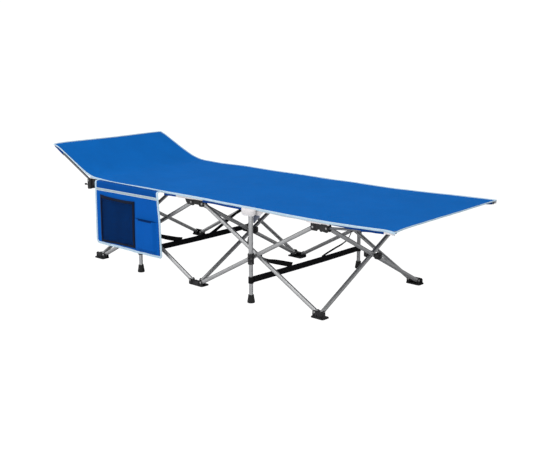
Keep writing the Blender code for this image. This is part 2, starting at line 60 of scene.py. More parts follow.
# ---------------------------------------------------------------- dimensions
CENTRE_Y = 0.00925
X0, X2, X4 = -0.662, -0.022, 0.618
X1, X3 = -0.3425, 0.2985
PIVOT_LOW, PIVOT_HIGH = 0.018, 0.336
PIVOT_MID = (PIVOT_LOW + PIVOT_HIGH) / 2
V_OUTER, V_INNER, V_CROSS = 0.3104, 0.2936, 0.2895
U_CROSS, U_MID, U_END = 0.0084, 0.031, 0.030
TUBE_R, TUBE_BORE, TUBE_STUB = 0.008, 0.0068, 0.0065
TUBE_PIVOTS = math.hypot(2 * V_CROSS, PIVOT_HIGH - PIVOT_LOW)
PIN_R, EAR_GAP, EAR_T, EAR_R = 0.0024, 0.0084, 0.0025, 0.007
HEAD_R, HEAD_T = 0.0045, 0.0016
PLATE_T, TOP_UNDER, TOP_OVER, SKIRT, CHEEK_TOP = 0.005, 0.353, 0.358, 0.3235, 0.0255
POLE_V = 0.332
HALF = 0.325  # half the deck's width
NEAR, FAR = -1, 1


def at(x, v, z):
    """A point given from the frame's centre line."""
    return Vector((x, CENTRE_Y + v, z))


# ----------------------------------------------------------------- materials
class Finish:
    """A material's node tree, with short calls that add its nodes."""

    def __init__(self, name, colour, roughness, metallic=0.0, **sockets):
        self.material = bpy.data.materials.new(name)
        self.material.use_nodes = True
        self.material.diffuse_color = (*colour, 1)
        self.tree = self.material.node_tree
        self.shader = self.tree.nodes["Principled BSDF"]
        self.shader.inputs["Base Color"].default_value = (*colour, 1)
        self.shader.inputs["Roughness"].default_value = roughness
        self.shader.inputs["Metallic"].default_value = metallic
        for key, value in sockets.items():
            self.shader.inputs[key.replace("_", " ")].default_value = value

    def node(self, kind, **settings):
        made = self.tree.nodes.new("ShaderNode" + kind)
        for key, value in settings.items():
            setattr(made, key, value)
        return made

    def feed(self, socket, value):
        if isinstance(value, bpy.types.NodeSocket):
            self.tree.links.new(value, socket)
        else:
            socket.default_value = value

    def math(self, operation, a, b=0.0, clamp=False):
        made = self.node("Math", operation=operation, use_clamp=clamp)
        self.feed(made.inputs[0], a)
        self.feed(made.inputs[1], b)
        return made.outputs[0]

    def cloth_coordinates(self):
        """Across and along the cloth, in metres."""
        split = self.node("SeparateXYZ")
        self.feed(split.inputs[0], self.node("UVMap", uv_map="cloth").outputs[0])
        return split.outputs[0], split.outputs[1]

    def place(self):
        return self.node("TexCoord").outputs["Object"]

    def noise(self, vector, scale, detail=3.0, roughness=0.55):
        made = self.node("TexNoise")
        self.feed(made.inputs["Vector"], vector)
        made.inputs["Scale"].default_value = scale
        made.inputs["Detail"].default_value = detail
        made.inputs["Roughness"].default_value = roughness
        return made.outputs["Fac"]

    def span(self, value, low, high, new_low, new_high):
        made = self.node("MapRange")
        for socket, x in zip(made.inputs[:5], (value, low, high, new_low, new_high)):
            self.feed(socket, x)
        return made.outputs[0]

    def blend(self, share, a, b, how="MIX"):
        made = self.node("Mix", data_type="RGBA", blend_type=how)
        self.feed(made.inputs[0], share)
        self.feed(made.inputs[6], (*a, 1) if isinstance(a, tuple) else a)
        self.feed(made.inputs[7], (*b, 1) if isinstance(b, tuple) else b)
        return made.outputs[2]

    def colour(self, value):
        self.feed(self.shader.inputs["Base Color"], value)

    def roughness(self, value):
        self.feed(self.shader.inputs["Roughness"], value)

    def bump(self, height, distance, strength=1.0, under=None):
        made = self.node("Bump")
        made.inputs["Strength"].default_value = strength
        made.inputs["Distance"].default_value = distance
        self.feed(made.inputs["Height"], height)
        if under is not None:
            self.feed(made.inputs["Normal"], under)
        self.feed(self.shader.inputs["Normal"], made.outputs[0])
        return made.outputs[0]


def shaded(colour, amount):
    return tuple(c * amount for c in colour)


def woven(name, colour, pitch=0.0009, depth=0.00016, roughness=0.85, sheen=0.25,
          blotch=0.10, gloss=0.3):
    """Plain-weave polyester: threads over and under at the pitch, softly
    uneven dye, and a faint long slub."""
    f = Finish(name, colour, roughness, Sheen_Weight=sheen, Sheen_Roughness=0.45,
               Specular_IOR_Level=gloss)
    f.shader.inputs["Sheen Tint"].default_value = (*[min(1, c * 1.5 + 0.25) for c in colour], 1)
    u, v = f.cloth_coordinates()
    turn = 2 * math.pi / pitch
    a = f.math("COSINE", f.math("MULTIPLY", u, turn))
    b = f.math("COSINE", f.math("MULTIPLY", v, turn))
    threads = f.math("ADD", f.math("MULTIPLY", f.math("MULTIPLY", a, b), 0.5), 0.5)
    large = f.noise(f.place(), 7.0, 4.0, 0.6)
    fine = f.noise(f.place(), 160.0, 2.0, 0.5)
    tone = f.math("ADD", f.span(large, 0.3, 0.7, 1 - blotch, 1 + blotch),
                  f.span(fine, 0.3, 0.7, -0.03, 0.03))
    tone = f.math("MULTIPLY", tone, f.span(threads, 0.0, 1.0, 0.90, 1.06))
    grey = f.node("CombineColor")
    for socket in grey.inputs:
        f.feed(socket, tone)
    f.colour(f.blend(1.0, (*colour,), grey.outputs[0], "MULTIPLY"))
    f.roughness(f.span(fine, 0.2, 0.8, roughness - 0.06, roughness + 0.06))
    f.bump(threads, depth, 0.7)
    return f.material


def ribbed(name, colour, pitch=0.0016, depth=0.0003, roughness=0.85, across=0.0048, sheen=0.03,
           gloss=0.15):
    """Webbing or tape: close cross ribs, with a fine line along it."""
    f = Finish(name, colour, roughness, Sheen_Weight=sheen, Sheen_Roughness=0.5,
               Specular_IOR_Level=gloss)
    u, v = f.cloth_coordinates()
    ribs = f.math("COSINE", f.math("MULTIPLY", v, 2 * math.pi / pitch))
    lines = f.math("COSINE", f.math("MULTIPLY", u, 2 * math.pi / across))
    ribs = f.math("ADD", f.math("MULTIPLY", ribs, 0.35),
                  f.math("ADD", f.math("MULTIPLY", lines, 0.15), 0.5))
    soft = f.noise(f.place(), 60.0)
    tone = f.math("MULTIPLY", f.span(ribs, 0.0, 1.0, 0.84, 1.06),
                  f.span(soft, 0.3, 0.7, 0.93, 1.07))
    grey = f.node("CombineColor")
    for socket in grey.inputs:
        f.feed(socket, tone)
    f.colour(f.blend(1.0, (*colour,), grey.outputs[0], "MULTIPLY"))
    f.bump(ribs, depth, 0.7)
    return f.material


def metal(name, colour, roughness, metallic=0.9, streak=0.10):
    """Drawn steel tube under a thin silver finish: fine streaks along it."""
    f = Finish(name, colour, roughness, metallic, Specular_IOR_Level=0.5)
    u, v = f.cloth_coordinates()
    where = f.node("CombineXYZ")
    f.feed(where.inputs[0], f.math("MULTIPLY", u, 1400.0))
    f.feed(where.inputs[1], f.math("MULTIPLY", v, 24.0))
    streaks = f.noise(where.outputs[0], 1.0, 3.0, 0.6)
    cloud = f.noise(f.place(), 22.0, 3.0)
    f.roughness(f.math("ADD", f.span(streaks, 0.25, 0.75, roughness - streak / 2, roughness + streak),
                       f.span(cloud, 0.3, 0.7, -0.03, 0.05)))
    f.colour(f.blend(f.span(cloud, 0.25, 0.75, 0.0, 1.0), shaded(colour, 0.93), shaded(colour, 1.05)))
    f.bump(streaks, 0.00004, 0.5)
    return f.material


def moulded(name, colour, roughness, grain=900.0, depth=0.00008, gloss=0.5):
    """Moulded plastic or rubber: a fine spark-eroded grain, and paler patches
    scattered at random, a painted highlight."""
    f = Finish(name, colour, roughness, Specular_IOR_Level=gloss)
    small = f.noise(f.place(), grain, 3.0, 0.65)
    cloud = f.noise(f.place(), 45.0, 4.0, 0.6)
    # paler patches at random: painted highlight
    f.colour(f.blend(f.span(cloud, 0.40, 0.78, 0.0, 1.0), colour,
                     tuple(min(1, c * 2.2 + 0.011) for c in colour)))
    f.roughness(f.math("ADD", f.span(small, 0.3, 0.7, roughness - 0.05, roughness + 0.05),
                       f.span(cloud, 0.3, 0.7, -0.04, 0.05)))
    f.bump(small, depth, 0.6)
    return f.material


BLUE = (0.0022, 0.1225, 0.4560)
CANVAS = woven("canvas_blue", BLUE, roughness=0.80, sheen=0.0, blotch=0.05, gloss=0.05)
CANVAS_BACK = woven("canvas_coated_back", (0.0120, 0.0240, 0.0560), depth=0.00006,
                    roughness=0.55, sheen=0.0, blotch=0.07, gloss=0.15)
# a darker copy of the deck's blue: painted shade on the hems below the binding and on the rod sleeves
HEM_NAVY_PAINTED_SHADE = woven("hem_navy_painted_shade", (0.0030, 0.0400, 0.2000), sheen=0.0, gloss=0.08)
BINDING = ribbed("binding_pale", (0.440, 0.580, 0.690), pitch=0.0011, depth=0.00018,
                 across=0.0025)
BAND = ribbed("band_cream", (0.340, 0.415, 0.460), pitch=0.0014, depth=0.0002)
PATCH = woven("patch_grey", (0.620, 0.600, 0.610), pitch=0.0012, sheen=0.2)
# dark grey: painted shade on the gusset's lower part, behind the pole
GUSSET_PAINTED_SHADE = woven("gusset_painted_shade", (0.130, 0.140, 0.190), pitch=0.0012)
WEBBING = ribbed("webbing_black", (0.0055, 0.0055, 0.0062), sheen=0.0, gloss=0.15)
# dark navy thread: real stitching, also painted shade along the deck's seam and the pouch's opening
THREAD_NAVY_AND_PAINTED_SHADE = ribbed("thread_navy_and_painted_shade", (0.003, 0.036, 0.160), pitch=0.0006, depth=0.0001)
THREAD_PALE = ribbed("thread_pale", (0.560, 0.680, 0.760), pitch=0.0006, depth=0.0001)
NET = woven("net_cord", (0.0020, 0.0060, 0.0280), pitch=0.0004, sheen=0.0, gloss=0.05)
NET_TAPE = ribbed("net_tape", (0.0030, 0.0070, 0.0230), pitch=0.0011, depth=0.0002)
# dark navy: painted shade inside the pouch and along its opening
NAVY_PAINTED_SHADE = woven("navy_sheet_painted_shade", (0.0020, 0.0250, 0.1200), sheen=0.0, gloss=0.05)
# a darker copy of the pouch blue: painted shade on the strip above the band, where the cloth bends over under
# the deck's edge
POUCH_PAINTED_SHADE = woven("pouch_blue_top", (0.0020, 0.0620, 0.2750), roughness=0.82, sheen=0.0, blotch=0.06,
                  gloss=0.05)
POUCH = woven("pouch_blue", (0.0025, 0.0830, 0.3700), roughness=0.82, sheen=0.0, blotch=0.06, gloss=0.05)
STEEL = metal("tube_silver", (0.535, 0.540, 0.545), 0.38, 0.85)
# a darker copy of the tube steel: painted shade on the end rods under the deck's edge
ROD_STEEL_PAINTED_SHADE = metal("rod_steel", (0.240, 0.250, 0.270), 0.38, 0.9)
RIVET = metal("rivet_zinc", (0.480, 0.480, 0.475), 0.32, 1.0, 0.05)
BOLT = metal("bolt_dark", (0.060, 0.062, 0.066), 0.36, 0.9, 0.06)
MOULDING = moulded("moulding_black", (0.0062, 0.0062, 0.0068), 0.38, gloss=0.42)
PLUG = moulded("plug_black", (0.0055, 0.0055, 0.0060), 0.55, gloss=0.35)
RUBBER = moulded("rubber_black", (0.0100, 0.0100, 0.0100), 0.72, grain=1300.0,
                 depth=0.00010, gloss=0.3)


# ------------------------------------------------------------ mesh building
class Shape:
    """Collects the faces of one piece, each with a material number and with
    coordinates in metres across and along the cloth or the metal."""

    def __init__(self):
        self.points, self.faces, self.kinds, self.coords = [], [], [], []

    def add(self, points, faces, kind=0, coords=None):
        start = len(self.points)
        self.points += [tuple(p) for p in points]
        for i, face in enumerate(faces):
            self.faces.append([start + j for j in face])
            self.kinds.append(kind)
            self.coords.append(coords[i] if coords else [(0.0, 0.0)] * len(face))

    def rings(self, rings, kind=0, around=None, along=None, loop=False, caps=True):
        """Skins a run of rings of equal size.  loop closes the last onto the
        first; caps fills the two ends."""
        count, size = len(rings), len(rings[0])
        rings = [[Vector(p) for p in ring] for ring in rings]
        if around is None:
            around = [0.0]
            for j in range(size):
                around.append(around[-1] + (rings[0][(j + 1) % size] - rings[0][j]).length)
        if along is None:
            along = [0.0]
            for i in range(1, count + 1):
                a = sum(rings[i % count], Vector()) / size
                b = sum(rings[i - 1], Vector()) / size
                step = (a - b).length
                if step < 1e-7:
                    step = (rings[i % count][0] - rings[i - 1][0]).length
                along.append(along[-1] + step)
        points = [p for ring in rings for p in ring]
        faces, coords = [], []
        for i in range(count if loop else count - 1):
            for j in range(size):
                k, n = (j + 1) % size, (i + 1) % count
                faces.append([i * size + j, i * size + k, n * size + k, n * size + j])
                coords.append([(around[j], along[i]), (around[j + 1], along[i]),
                               (around[j + 1], along[i + 1]), (around[j], along[i + 1])])
        if caps and not loop:
            faces.append(list(reversed(range(size))))
            coords.append([(around[j], 0.0) for j in reversed(range(size))])
            faces.append([(count - 1) * size + j for j in range(size)])
            coords.append([(around[j], 0.0) for j in range(size)])
        self.add(points, faces, kind, coords)

    def lathe(self, profile, matrix, sides=32, kind=0, loop=False):
        """A profile of (radius, height) turned round the matrix's Z axis.  A
        radius of 0 at an end closes it."""
        profile = list(profile)
        rings = []
        for radius, height in profile:
            rings.append([
                matrix @ Vector((radius * math.cos(2 * math.pi * j / sides),
                                 radius * math.sin(2 * math.pi * j / sides), height))
                for j in range(sides)])
        widest = max(r for r, _ in profile)
        around = [2 * math.pi * widest * j / sides for j in range(sides + 1)]
        along = [0.0]
        for i in range(1, len(profile) + 1):
            a, b = profile[i % len(profile)], profile[i - 1]
            along.append(along[-1] + math.hypot(a[0] - b[0], a[1] - b[1]))
        start = len(self.points)
        self.rings(rings, kind, around, along, loop=loop, caps=not loop)
        return start

    def solid(self, bm, kind=0):
        """A closed bmesh, taken in whole."""
        bmesh.ops.recalc_face_normals(bm, faces=bm.faces)
        bm.verts.ensure_lookup_table()
        bm.verts.index_update()
        coords = []
        for face in bm.faces:
            n = face.normal
            i = max(range(3), key=lambda k: abs(n[k]))
            a, b = [(1, 2), (0, 2), (0, 1)][i]
            coords.append([(v.co[a], v.co[b]) for v in face.verts])
        self.add([v.co.copy() for v in bm.verts],
                 [[v.index for v in f.verts] for f in bm.faces], kind, coords)
        bm.free()

    def slab(self, middle, thick, kind=0, back=None, rim=None):
        """A grid of points given thickness: a sheet of cloth.  kind and back
        are the material numbers of its two faces, one number or one for each
        square, and rim is the number of its edge."""
        n, m = middle.shape[:2]
        normal = grid_normals(middle) * thick / 2
        points = np.concatenate([(middle + normal).reshape(-1, 3), (middle - normal).reshape(-1, 3)])
        index = np.arange(n * m).reshape(n, m)
        a, b, c, d = index[:-1, :-1], index[1:, :-1], index[1:, 1:], index[:-1, 1:]
        upper = np.stack([a, b, c, d], -1).reshape(-1, 4)
        lower = np.stack([d, c, b, a], -1).reshape(-1, 4) + n * m
        edge = (list(index[:, 0]) + list(index[-1, 1:]) + list(index[-2::-1, -1])
                + list(index[0, -2:0:-1]))
        sides = [[edge[i], edge[i] + n * m, edge[(i + 1) % len(edge)] + n * m,
                  edge[(i + 1) % len(edge)]] for i in range(len(edge))]
        kinds = np.broadcast_to(kind, (n - 1, m - 1)).ravel()
        backs = kinds if back is None else np.broadcast_to(back, (n - 1, m - 1)).ravel()
        along = np.concatenate([[0], np.cumsum(np.linalg.norm(np.diff(middle[:, m // 2], axis=0), axis=1))])
        across = np.concatenate([[0], np.cumsum(np.linalg.norm(np.diff(middle[n // 2], axis=0), axis=1))])
        flat = [(float(across[k % m]), float(along[(k // m) % n])) for k in range(n * m)] * 2
        faces = upper.tolist() + lower.tolist() + sides
        start = len(self.points)
        self.points += [tuple(p) for p in points.tolist()]
        for face in faces:
            self.faces.append([start + int(i) for i in face])
            self.coords.append([flat[int(i)] for i in face])
        self.kinds += (kinds.tolist() + backs.tolist()
                       + [int(kinds[0]) if rim is None else rim] * len(sides))

    def ribbon(self, path, across, width, thick, kind=0):
        """Webbing along a path: across is the direction of its width."""
        path, across = np.asarray(path, float), np.asarray(across, float)
        ahead = np.gradient(path, axis=0)
        ahead /= np.linalg.norm(ahead, axis=1, keepdims=True)
        face = np.cross(ahead, across)
        face /= np.linalg.norm(face, axis=1, keepdims=True)
        flat = np.cross(face, ahead)
        width = np.broadcast_to(width, len(path))
        t, rings = thick / 2, []
        for p, a, n, w in zip(path, flat, face, width):
            h, r = w / 2, min(0.0006, w / 5)
            rings.append([p + a * x + n * y for x, y in (
                (-h, -t * 0.4), (-h + r, -t), (0, -t), (h - r, -t), (h, -t * 0.4), (h, t * 0.4),
                (h - r, t), (0, t), (-h + r, t), (-h, t * 0.4))])
        self.rings(rings, kind)

    def mesh(self, name):
        mesh = bpy.data.meshes.new(name)
        mesh.from_pydata([tuple(p) for p in self.points], [], self.faces)
        mesh.polygons.foreach_set("material_index", self.kinds)
        layer = mesh.uv_layers.new(name="cloth")
        flat = [c for face in self.coords for pair in face for c in pair]
        layer.uv.foreach_set("vector", flat)
        return mesh


def grid_normals(points):
    n = np.cross(np.gradient(points, axis=0), np.gradient(points, axis=1))
    return n / np.linalg.norm(n, axis=-1, keepdims=True)


def weld(mesh, distance=2e-7):
    bm = bmesh.new()
    bm.from_mesh(mesh)
    bmesh.ops.remove_doubles(bm, verts=bm.verts, dist=distance)
    bmesh.ops.dissolve_degenerate(bm, dist=distance, edges=bm.edges)
    bm.to_mesh(mesh)
    bm.free()
    return mesh


def piece(name, mesh, materials, body, smooth=35, node=None, outward=True):
    """A finished piece on its body; node is the CAD node that it replaces."""
    if outward:
        bm = bmesh.new()
        bm.from_mesh(mesh)
        bmesh.ops.recalc_face_normals(bm, faces=bm.faces)
        bm.to_mesh(mesh)
        bm.free()
    for material in materials:
        mesh.materials.append(material)
    if smooth:
        mesh.shade_smooth()
        mesh.set_sharp_from_angle(angle=math.radians(smooth))
    made = bpy.data.objects.new(name, mesh)
    bpy.context.scene.collection.objects.link(made)
    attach(made, body)
    for one in ([node] if isinstance(node, str) else node or []):
        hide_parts(one)
    return made


def bevelled(bm, width, least=25.0, segments=2):
    if width > 0:
        edges = [e for e in bm.edges
                 if len(e.link_faces) == 2 and e.calc_face_angle(0) > math.radians(least)]
        bmesh.ops.bevel(bm, geom=edges, offset=width, segments=segments, profile=0.5,
                        affect="EDGES", clamp_overlap=True)
    return bm


def prism(points, axis, low, high, width=0.0005, least=25.0):
    """A flat outline given thickness along an axis.  The points are the other
    two coordinates, in X, Y, Z order."""
    bm = bmesh.new()
    put = {"X": lambda a, b, h: (h, a, b), "Y": lambda a, b, h: (a, h, b),
           "Z": lambda a, b, h: (a, b, h)}[axis]
    base = [bm.verts.new(put(a, b, low)) for a, b in points]
    face = bm.faces.new(base)
    grown = bmesh.ops.extrude_face_region(bm, geom=[face])
    shift = Vector(put(0, 0, high - low))
    bmesh.ops.translate(bm, vec=shift,
                        verts=[g for g in grown["geom"] if isinstance(g, bmesh.types.BMVert)])
    bmesh.ops.recalc_face_normals(bm, faces=bm.faces)
    return bevelled(bm, width, least)


def box(u, v, z, width=0.0005):
    return prism([(u[0], v[0]), (u[1], v[0]), (u[1], v[1]), (u[0], v[1])], "Z", *z, width)


def arc(cx, cz, radius, start, end, steps):
    return [(cx + radius * math.cos(math.radians(start + (end - start) * i / steps)),
             cz + radius * math.sin(math.radians(start + (end - start) * i / steps)))
            for i in range(steps + 1)]


def rounded_rectangle(a, b, corners, steps=5):
    """Outline from a = (low, high) and b = (low, high); corners are the radii
    at (low, low), (high, low), (high, high) and (low, high)."""
    (a0, a1), (b0, b1) = a, b
    r = [max(c, 1e-5) for c in corners]
    return (arc(a0 + r[0], b0 + r[0], r[0], 180, 270, steps)
            + arc(a1 - r[1], b0 + r[1], r[1], 270, 360, steps)
            + arc(a1 - r[2], b1 - r[2], r[2], 0, 90, steps)
            + arc(a0 + r[3], b1 - r[3], r[3], 90, 180, steps))


def tongue(centre, base, radius, steps=10):
    """An ear that rises or hangs from height base and ends in a half circle."""
    a, z = centre
    if z > base:
        return [(a - radius, base), (a + radius, base)] + arc(a, z, radius, 0, 180, steps)
    return [(a - radius, base)] + arc(a, z, radius, 180, 360, steps) + [(a + radius, base)]


TURN = {"X": Matrix.Rotation(math.pi / 2, 4, "Y"), "Y": Matrix.Rotation(-math.pi / 2, 4, "X"),
        "Z": Matrix.Identity(4)}


def along_axis(axis, start, across):
    """A frame whose Z is the axis, with its origin at start."""
    place = {"X": (start, *across), "Y": (across[0], start, across[1]), "Z": (*across, start)}
    return Matrix.Translation(place[axis]) @ TURN[axis]


def dome(height=0.0018, radius=HEAD_R):
    """Profile of a button rivet's head, from its seat outwards."""
    return [(radius * 0.96, -0.0004), (radius, 0.0), (radius, height * 0.28),
            (radius * 0.94, height * 0.52), (radius * 0.78, height * 0.76),
            (radius * 0.5, height * 0.94), (radius * 0.2, height), (0.00001, height)]


# --------------------------------------------------------------- deck shape
KNOTS = np.array([
    (-0.990, 0.5020), (-0.950, 0.4872), (-0.905, 0.4680), (-0.850, 0.4428), (-0.800, 0.4198),
    (-0.750, 0.3978), (-0.710, 0.3822), (-0.680, 0.3735), (-0.650, 0.3684), (-0.600, 0.3661),
    (-0.340, 0.3664), (0.000, 0.3671), (0.300, 0.3673), (0.500, 0.3677), (0.600, 0.3688),
    (0.680, 0.3709), (0.740, 0.3729), (0.820, 0.3755), (0.890, 0.3780), (0.950, 0.3803),
    (0.990, 0.3818)])
# the far edge's height less the near one's, halved: stretched cloth is never level
LEAN = np.array([
    (-0.990, -0.0040), (-0.900, -0.0045), (-0.800, -0.0045), (-0.740, -0.0030), (-0.680, -0.0005),
    (-0.600, 0.0010), (0.000, 0.0012), (0.300, 0.0020), (0.500, 0.0030), (0.600, 0.0038),
    (0.700, 0.0046), (0.800, 0.0046), (0.900, 0.0038), (0.950, 0.0033), (0.990, 0.0030)])


def smooth_curve(x, knots):
    kx, kz = knots.T
    slope = np.gradient(kz, kx)
    i = np.clip(np.searchsorted(kx, x) - 1, 0, len(kx) - 2)
    h = kx[i + 1] - kx[i]
    t = (x - kx[i]) / h
    return ((2 * t**3 - 3 * t**2 + 1) * kz[i] + (t**3 - 2 * t**2 + t) * h * slope[i]
            + (3 * t**2 - 2 * t**3) * kz[i + 1] + (t**3 - t**2) * h * slope[i + 1])


def smooth_step(x, low, high):
    t = np.clip((x - low) / (high - low), 0, 1)
    return t * t * (3 - 2 * t)


def profile(x):
    """Height of the deck's middle surface along its long edges."""
    return smooth_curve(x, KNOTS)


HELD = [(x, s * 0.300, 0.055, 9.0, 0.7 + 1.3 * i + (0.9 if s > 0 else 0))
        for i, x in enumerate((X0, X2, X4)) for s in (NEAR, FAR)]
HELD += [(x, s * 0.322, 0.050, 7.0, 2.1 + 0.8 * i + (1.7 if s > 0 else 0))
         for i, x in enumerate((X1, X3)) for s in (NEAR, FAR)]
SEAM_V = 0.3192


def deck(x, v):
    """The deck's middle surface: x along the bed and v across it, as arrays."""
    x, v = np.asarray(x, float), np.asarray(v, float)
    e = np.abs(v) / HALF
    hang = 1 - e**2
    bays = 0.5 - 0.5 * np.cos(2 * np.pi * (x - X0) / 0.640)
    inside = 1 / (1 + np.exp(-(x - X0 + 0.01) / 0.03)) / (1 + np.exp((x - X4 - 0.01) / 0.03))
    sag = 0.0026 * inside + 0.0030 * bays * inside
    end = 1 - inside
    reach = np.clip((np.abs(x + 0.0) - 0.70) / 0.25, 0, 1)
    sag = sag + end * (0.0030 + 0.0022 * np.sin(np.pi * reach))
    z = profile(x) + smooth_curve(x, LEAN) * v / HALF - sag * hang
    # the long edges dip a little between what holds them
    held = np.cos(2 * np.pi * (x - X0) / 0.320)
    z = z - 0.0010 * inside * (0.5 - 0.5 * held) * e**6
    # soft folds that spread from each place where the cloth is held
    for sx, sv, reach_r, waves, phase in HELD:
        du, dv = x - sx, -np.sign(sv) * (v - sv)
        r = np.hypot(du, dv) + 1e-9
        angle = np.arctan2(du, dv)
        z = z + (0.00085 * np.exp(-((r - reach_r) / 0.042) ** 2)
                 * np.cos(waves * angle + phase) * np.cos(angle / 2) ** 2)
    # long shallow pulls, and the unevenness of cloth that has been folded away
    z = z + 0.00040 * np.sin(21 * x + 9 * v + 0.6) * np.sin(5.1 * x - 13 * v + 2.0) * hang
    z = z + 0.00022 * np.sin(47 * x - 31 * v + 1.1) * np.sin(38 * v + 11 * x) * hang
    z = z + 0.00016 * np.sin(83 * v + 6 * np.sin(7 * x)) * np.cos(9 * x + 0.4) * hang
    for fold in (X1, X3, X2):  # a crease is left where the deck folds
        z = z - 0.00055 * np.exp(-((x - fold) / 0.0035) ** 2) * (0.75 + 0.25 * np.cos(17 * v))
    z = z - 0.00055 * np.exp(-((np.abs(v) - SEAM_V) / 0.0011) ** 2)
    # the corners droop over the ends of their rods
    corner = np.clip((np.abs(x) - 0.900) / 0.050, 0, 1) ** 2 * e**8
    z = z - np.where(x > 0, 0.0055, 0.0060) * corner * np.where(v < 0, 1.0, np.where(x > 0, 0.1, 0.5))
    # the ends draw in between their corners
    ends = np.clip((np.abs(x) - 0.80) / 0.15, 0, 1) ** 2
    px = x - np.sign(x) * 0.0045 * ends * hang
    px = px + np.clip((-x - 0.70) / 0.25, 0, 1) * (0.0035 - 0.0085 * v / HALF)
    px = px - 0.0060 * np.clip((x - 0.70) / 0.25, 0, 1)
    y = CENTRE_Y + v - np.sign(v) * 0.0012 * (0.5 - 0.5 * held) * inside * e**4
    return np.stack([px, y, z], -1)


def deck_normal(x, v):
    step = 0.0004
    du = deck(x + step, v) - deck(x - step, v)
    dv = deck(x, np.asarray(v) + step) - deck(x, np.asarray(v) - step)
    n = np.cross(du, dv)
    return n / np.linalg.norm(n, axis=-1, keepdims=True)


LIMITS = [-0.9500, X0 - 0.040, X0 + 0.041, X1, X2 - 0.040, X2 + 0.040, X3, X4 - 0.041,
          X4 + 0.050, 0.9500]
PANELS = ["cloth_flap_head", "cloth_saddle_head_end", "cloth_panel_head_bay_outer",
          "cloth_panel_head_bay_inner", "cloth_saddle_middle", "cloth_panel_foot_bay_inner",
          "cloth_panel_foot_bay_outer", "cloth_saddle_foot_end", "cloth_flap_foot"]
EDGE_V = [0.3250, 0.3238, 0.3225, 0.3213, 0.3204, 0.3198, 0.3192, 0.3186, 0.3180, 0.3168, 0.3145,
          0.3110, 0.3060, 0.3000, 0.2920, 0.2830]
V_LINES = np.array([-v for v in EDGE_V] + list(np.linspace(-0.2735, 0.2735, 57))
                   + [v for v in reversed(EDGE_V)])
CLOTH_T = 0.0011


def x_lines(low, high, spacing):
    """Lines across the bed between two limits, closer beside a fold."""
    count = max(2, math.ceil((high - low) / spacing))
    lines = list(np.linspace(low, high, count + 1))
    for fold in (X1, X3, X2):
        for near in (-0.0070, -0.0045, -0.0025, 0.0, 0.0025, 0.0045, 0.0070):
            x = fold + near
            if low + 0.0012 < x < high - 0.0012:
                lines = [q for q in lines if abs(q - x) > 0.0012 or q in (low, high)] + [x]
    return np.array(sorted(set(lines)))


def deck_panel(name, low, high):
    gx, gv = np.meshgrid(x_lines(low, high, 0.0095), V_LINES, indexing="ij")
    made = cloth_grid("deck_" + name, gx, gv, deck(gx, gv), deck_normal(gx, gv))
    node = "cloth_" + name
    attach(made, BODY[node])
    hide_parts(node)
    return made


def cloth_grid(name, gx, gv, middle, normal):
    """Cloth of the deck's thickness on a grid of points."""
    top = (middle + normal * CLOTH_T / 2).reshape(-1, 3)
    under = (middle - normal * CLOTH_T / 2).reshape(-1, 3)
    n, m = gx.shape
    index = np.arange(n * m).reshape(n, m)
    a, b, c, d = index[:-1, :-1], index[1:, :-1], index[1:, 1:], index[:-1, 1:]
    upper = np.stack([a, b, c, d], -1).reshape(-1, 4)
    lower = np.stack([d, c, b, a], -1).reshape(-1, 4) + n * m
    border = (list(index[:, 0]) + list(index[-1, 1:]) + list(index[-2::-1, -1])
              + list(index[0, -2:0:-1]))
    rim = [[border[i], border[i] + n * m, border[(i + 1) % len(border)] + n * m,
            border[(i + 1) % len(border)]] for i in range(len(border))]
    faces = upper.tolist() + lower.tolist() + rim
    mesh = bpy.data.meshes.new(name)
    mesh.from_pydata(np.concatenate([top, under]).tolist(), [], faces)
    mesh.polygons.foreach_set(
        "material_index", [0] * len(upper) + [1] * len(lower) + [0] * len(rim))
    layer = mesh.uv_layers.new(name="cloth")
    flat = np.stack([gv.ravel(), gx.ravel()], -1)
    flat = np.concatenate([flat, flat])
    corners = np.array([i for face in faces for i in face])
    layer.uv.foreach_set("vector", flat[corners].astype(np.float32).ravel())
    mesh.materials.append(CANVAS)
    mesh.materials.append(CANVAS_BACK)
    mesh.shade_smooth()
    normals = np.concatenate([normal.reshape(-1, 3), -normal.reshape(-1, 3)])[corners]
    first = 4 * (len(upper) + len(lower))
    points = np.concatenate([top, under])
    centre = points.mean(0)
    for i, face in enumerate(rim):
        p = points[face]
        side = np.cross(p[1] - p[0], p[2] - p[0])
        side /= np.linalg.norm(side)
        normals[first + 4 * i:first + 4 * i + 4] = side
    mesh.normals_split_custom_set(normals.tolist())
    made = bpy.data.objects.new(name, mesh)
    bpy.context.scene.collection.objects.link(made)
    return made


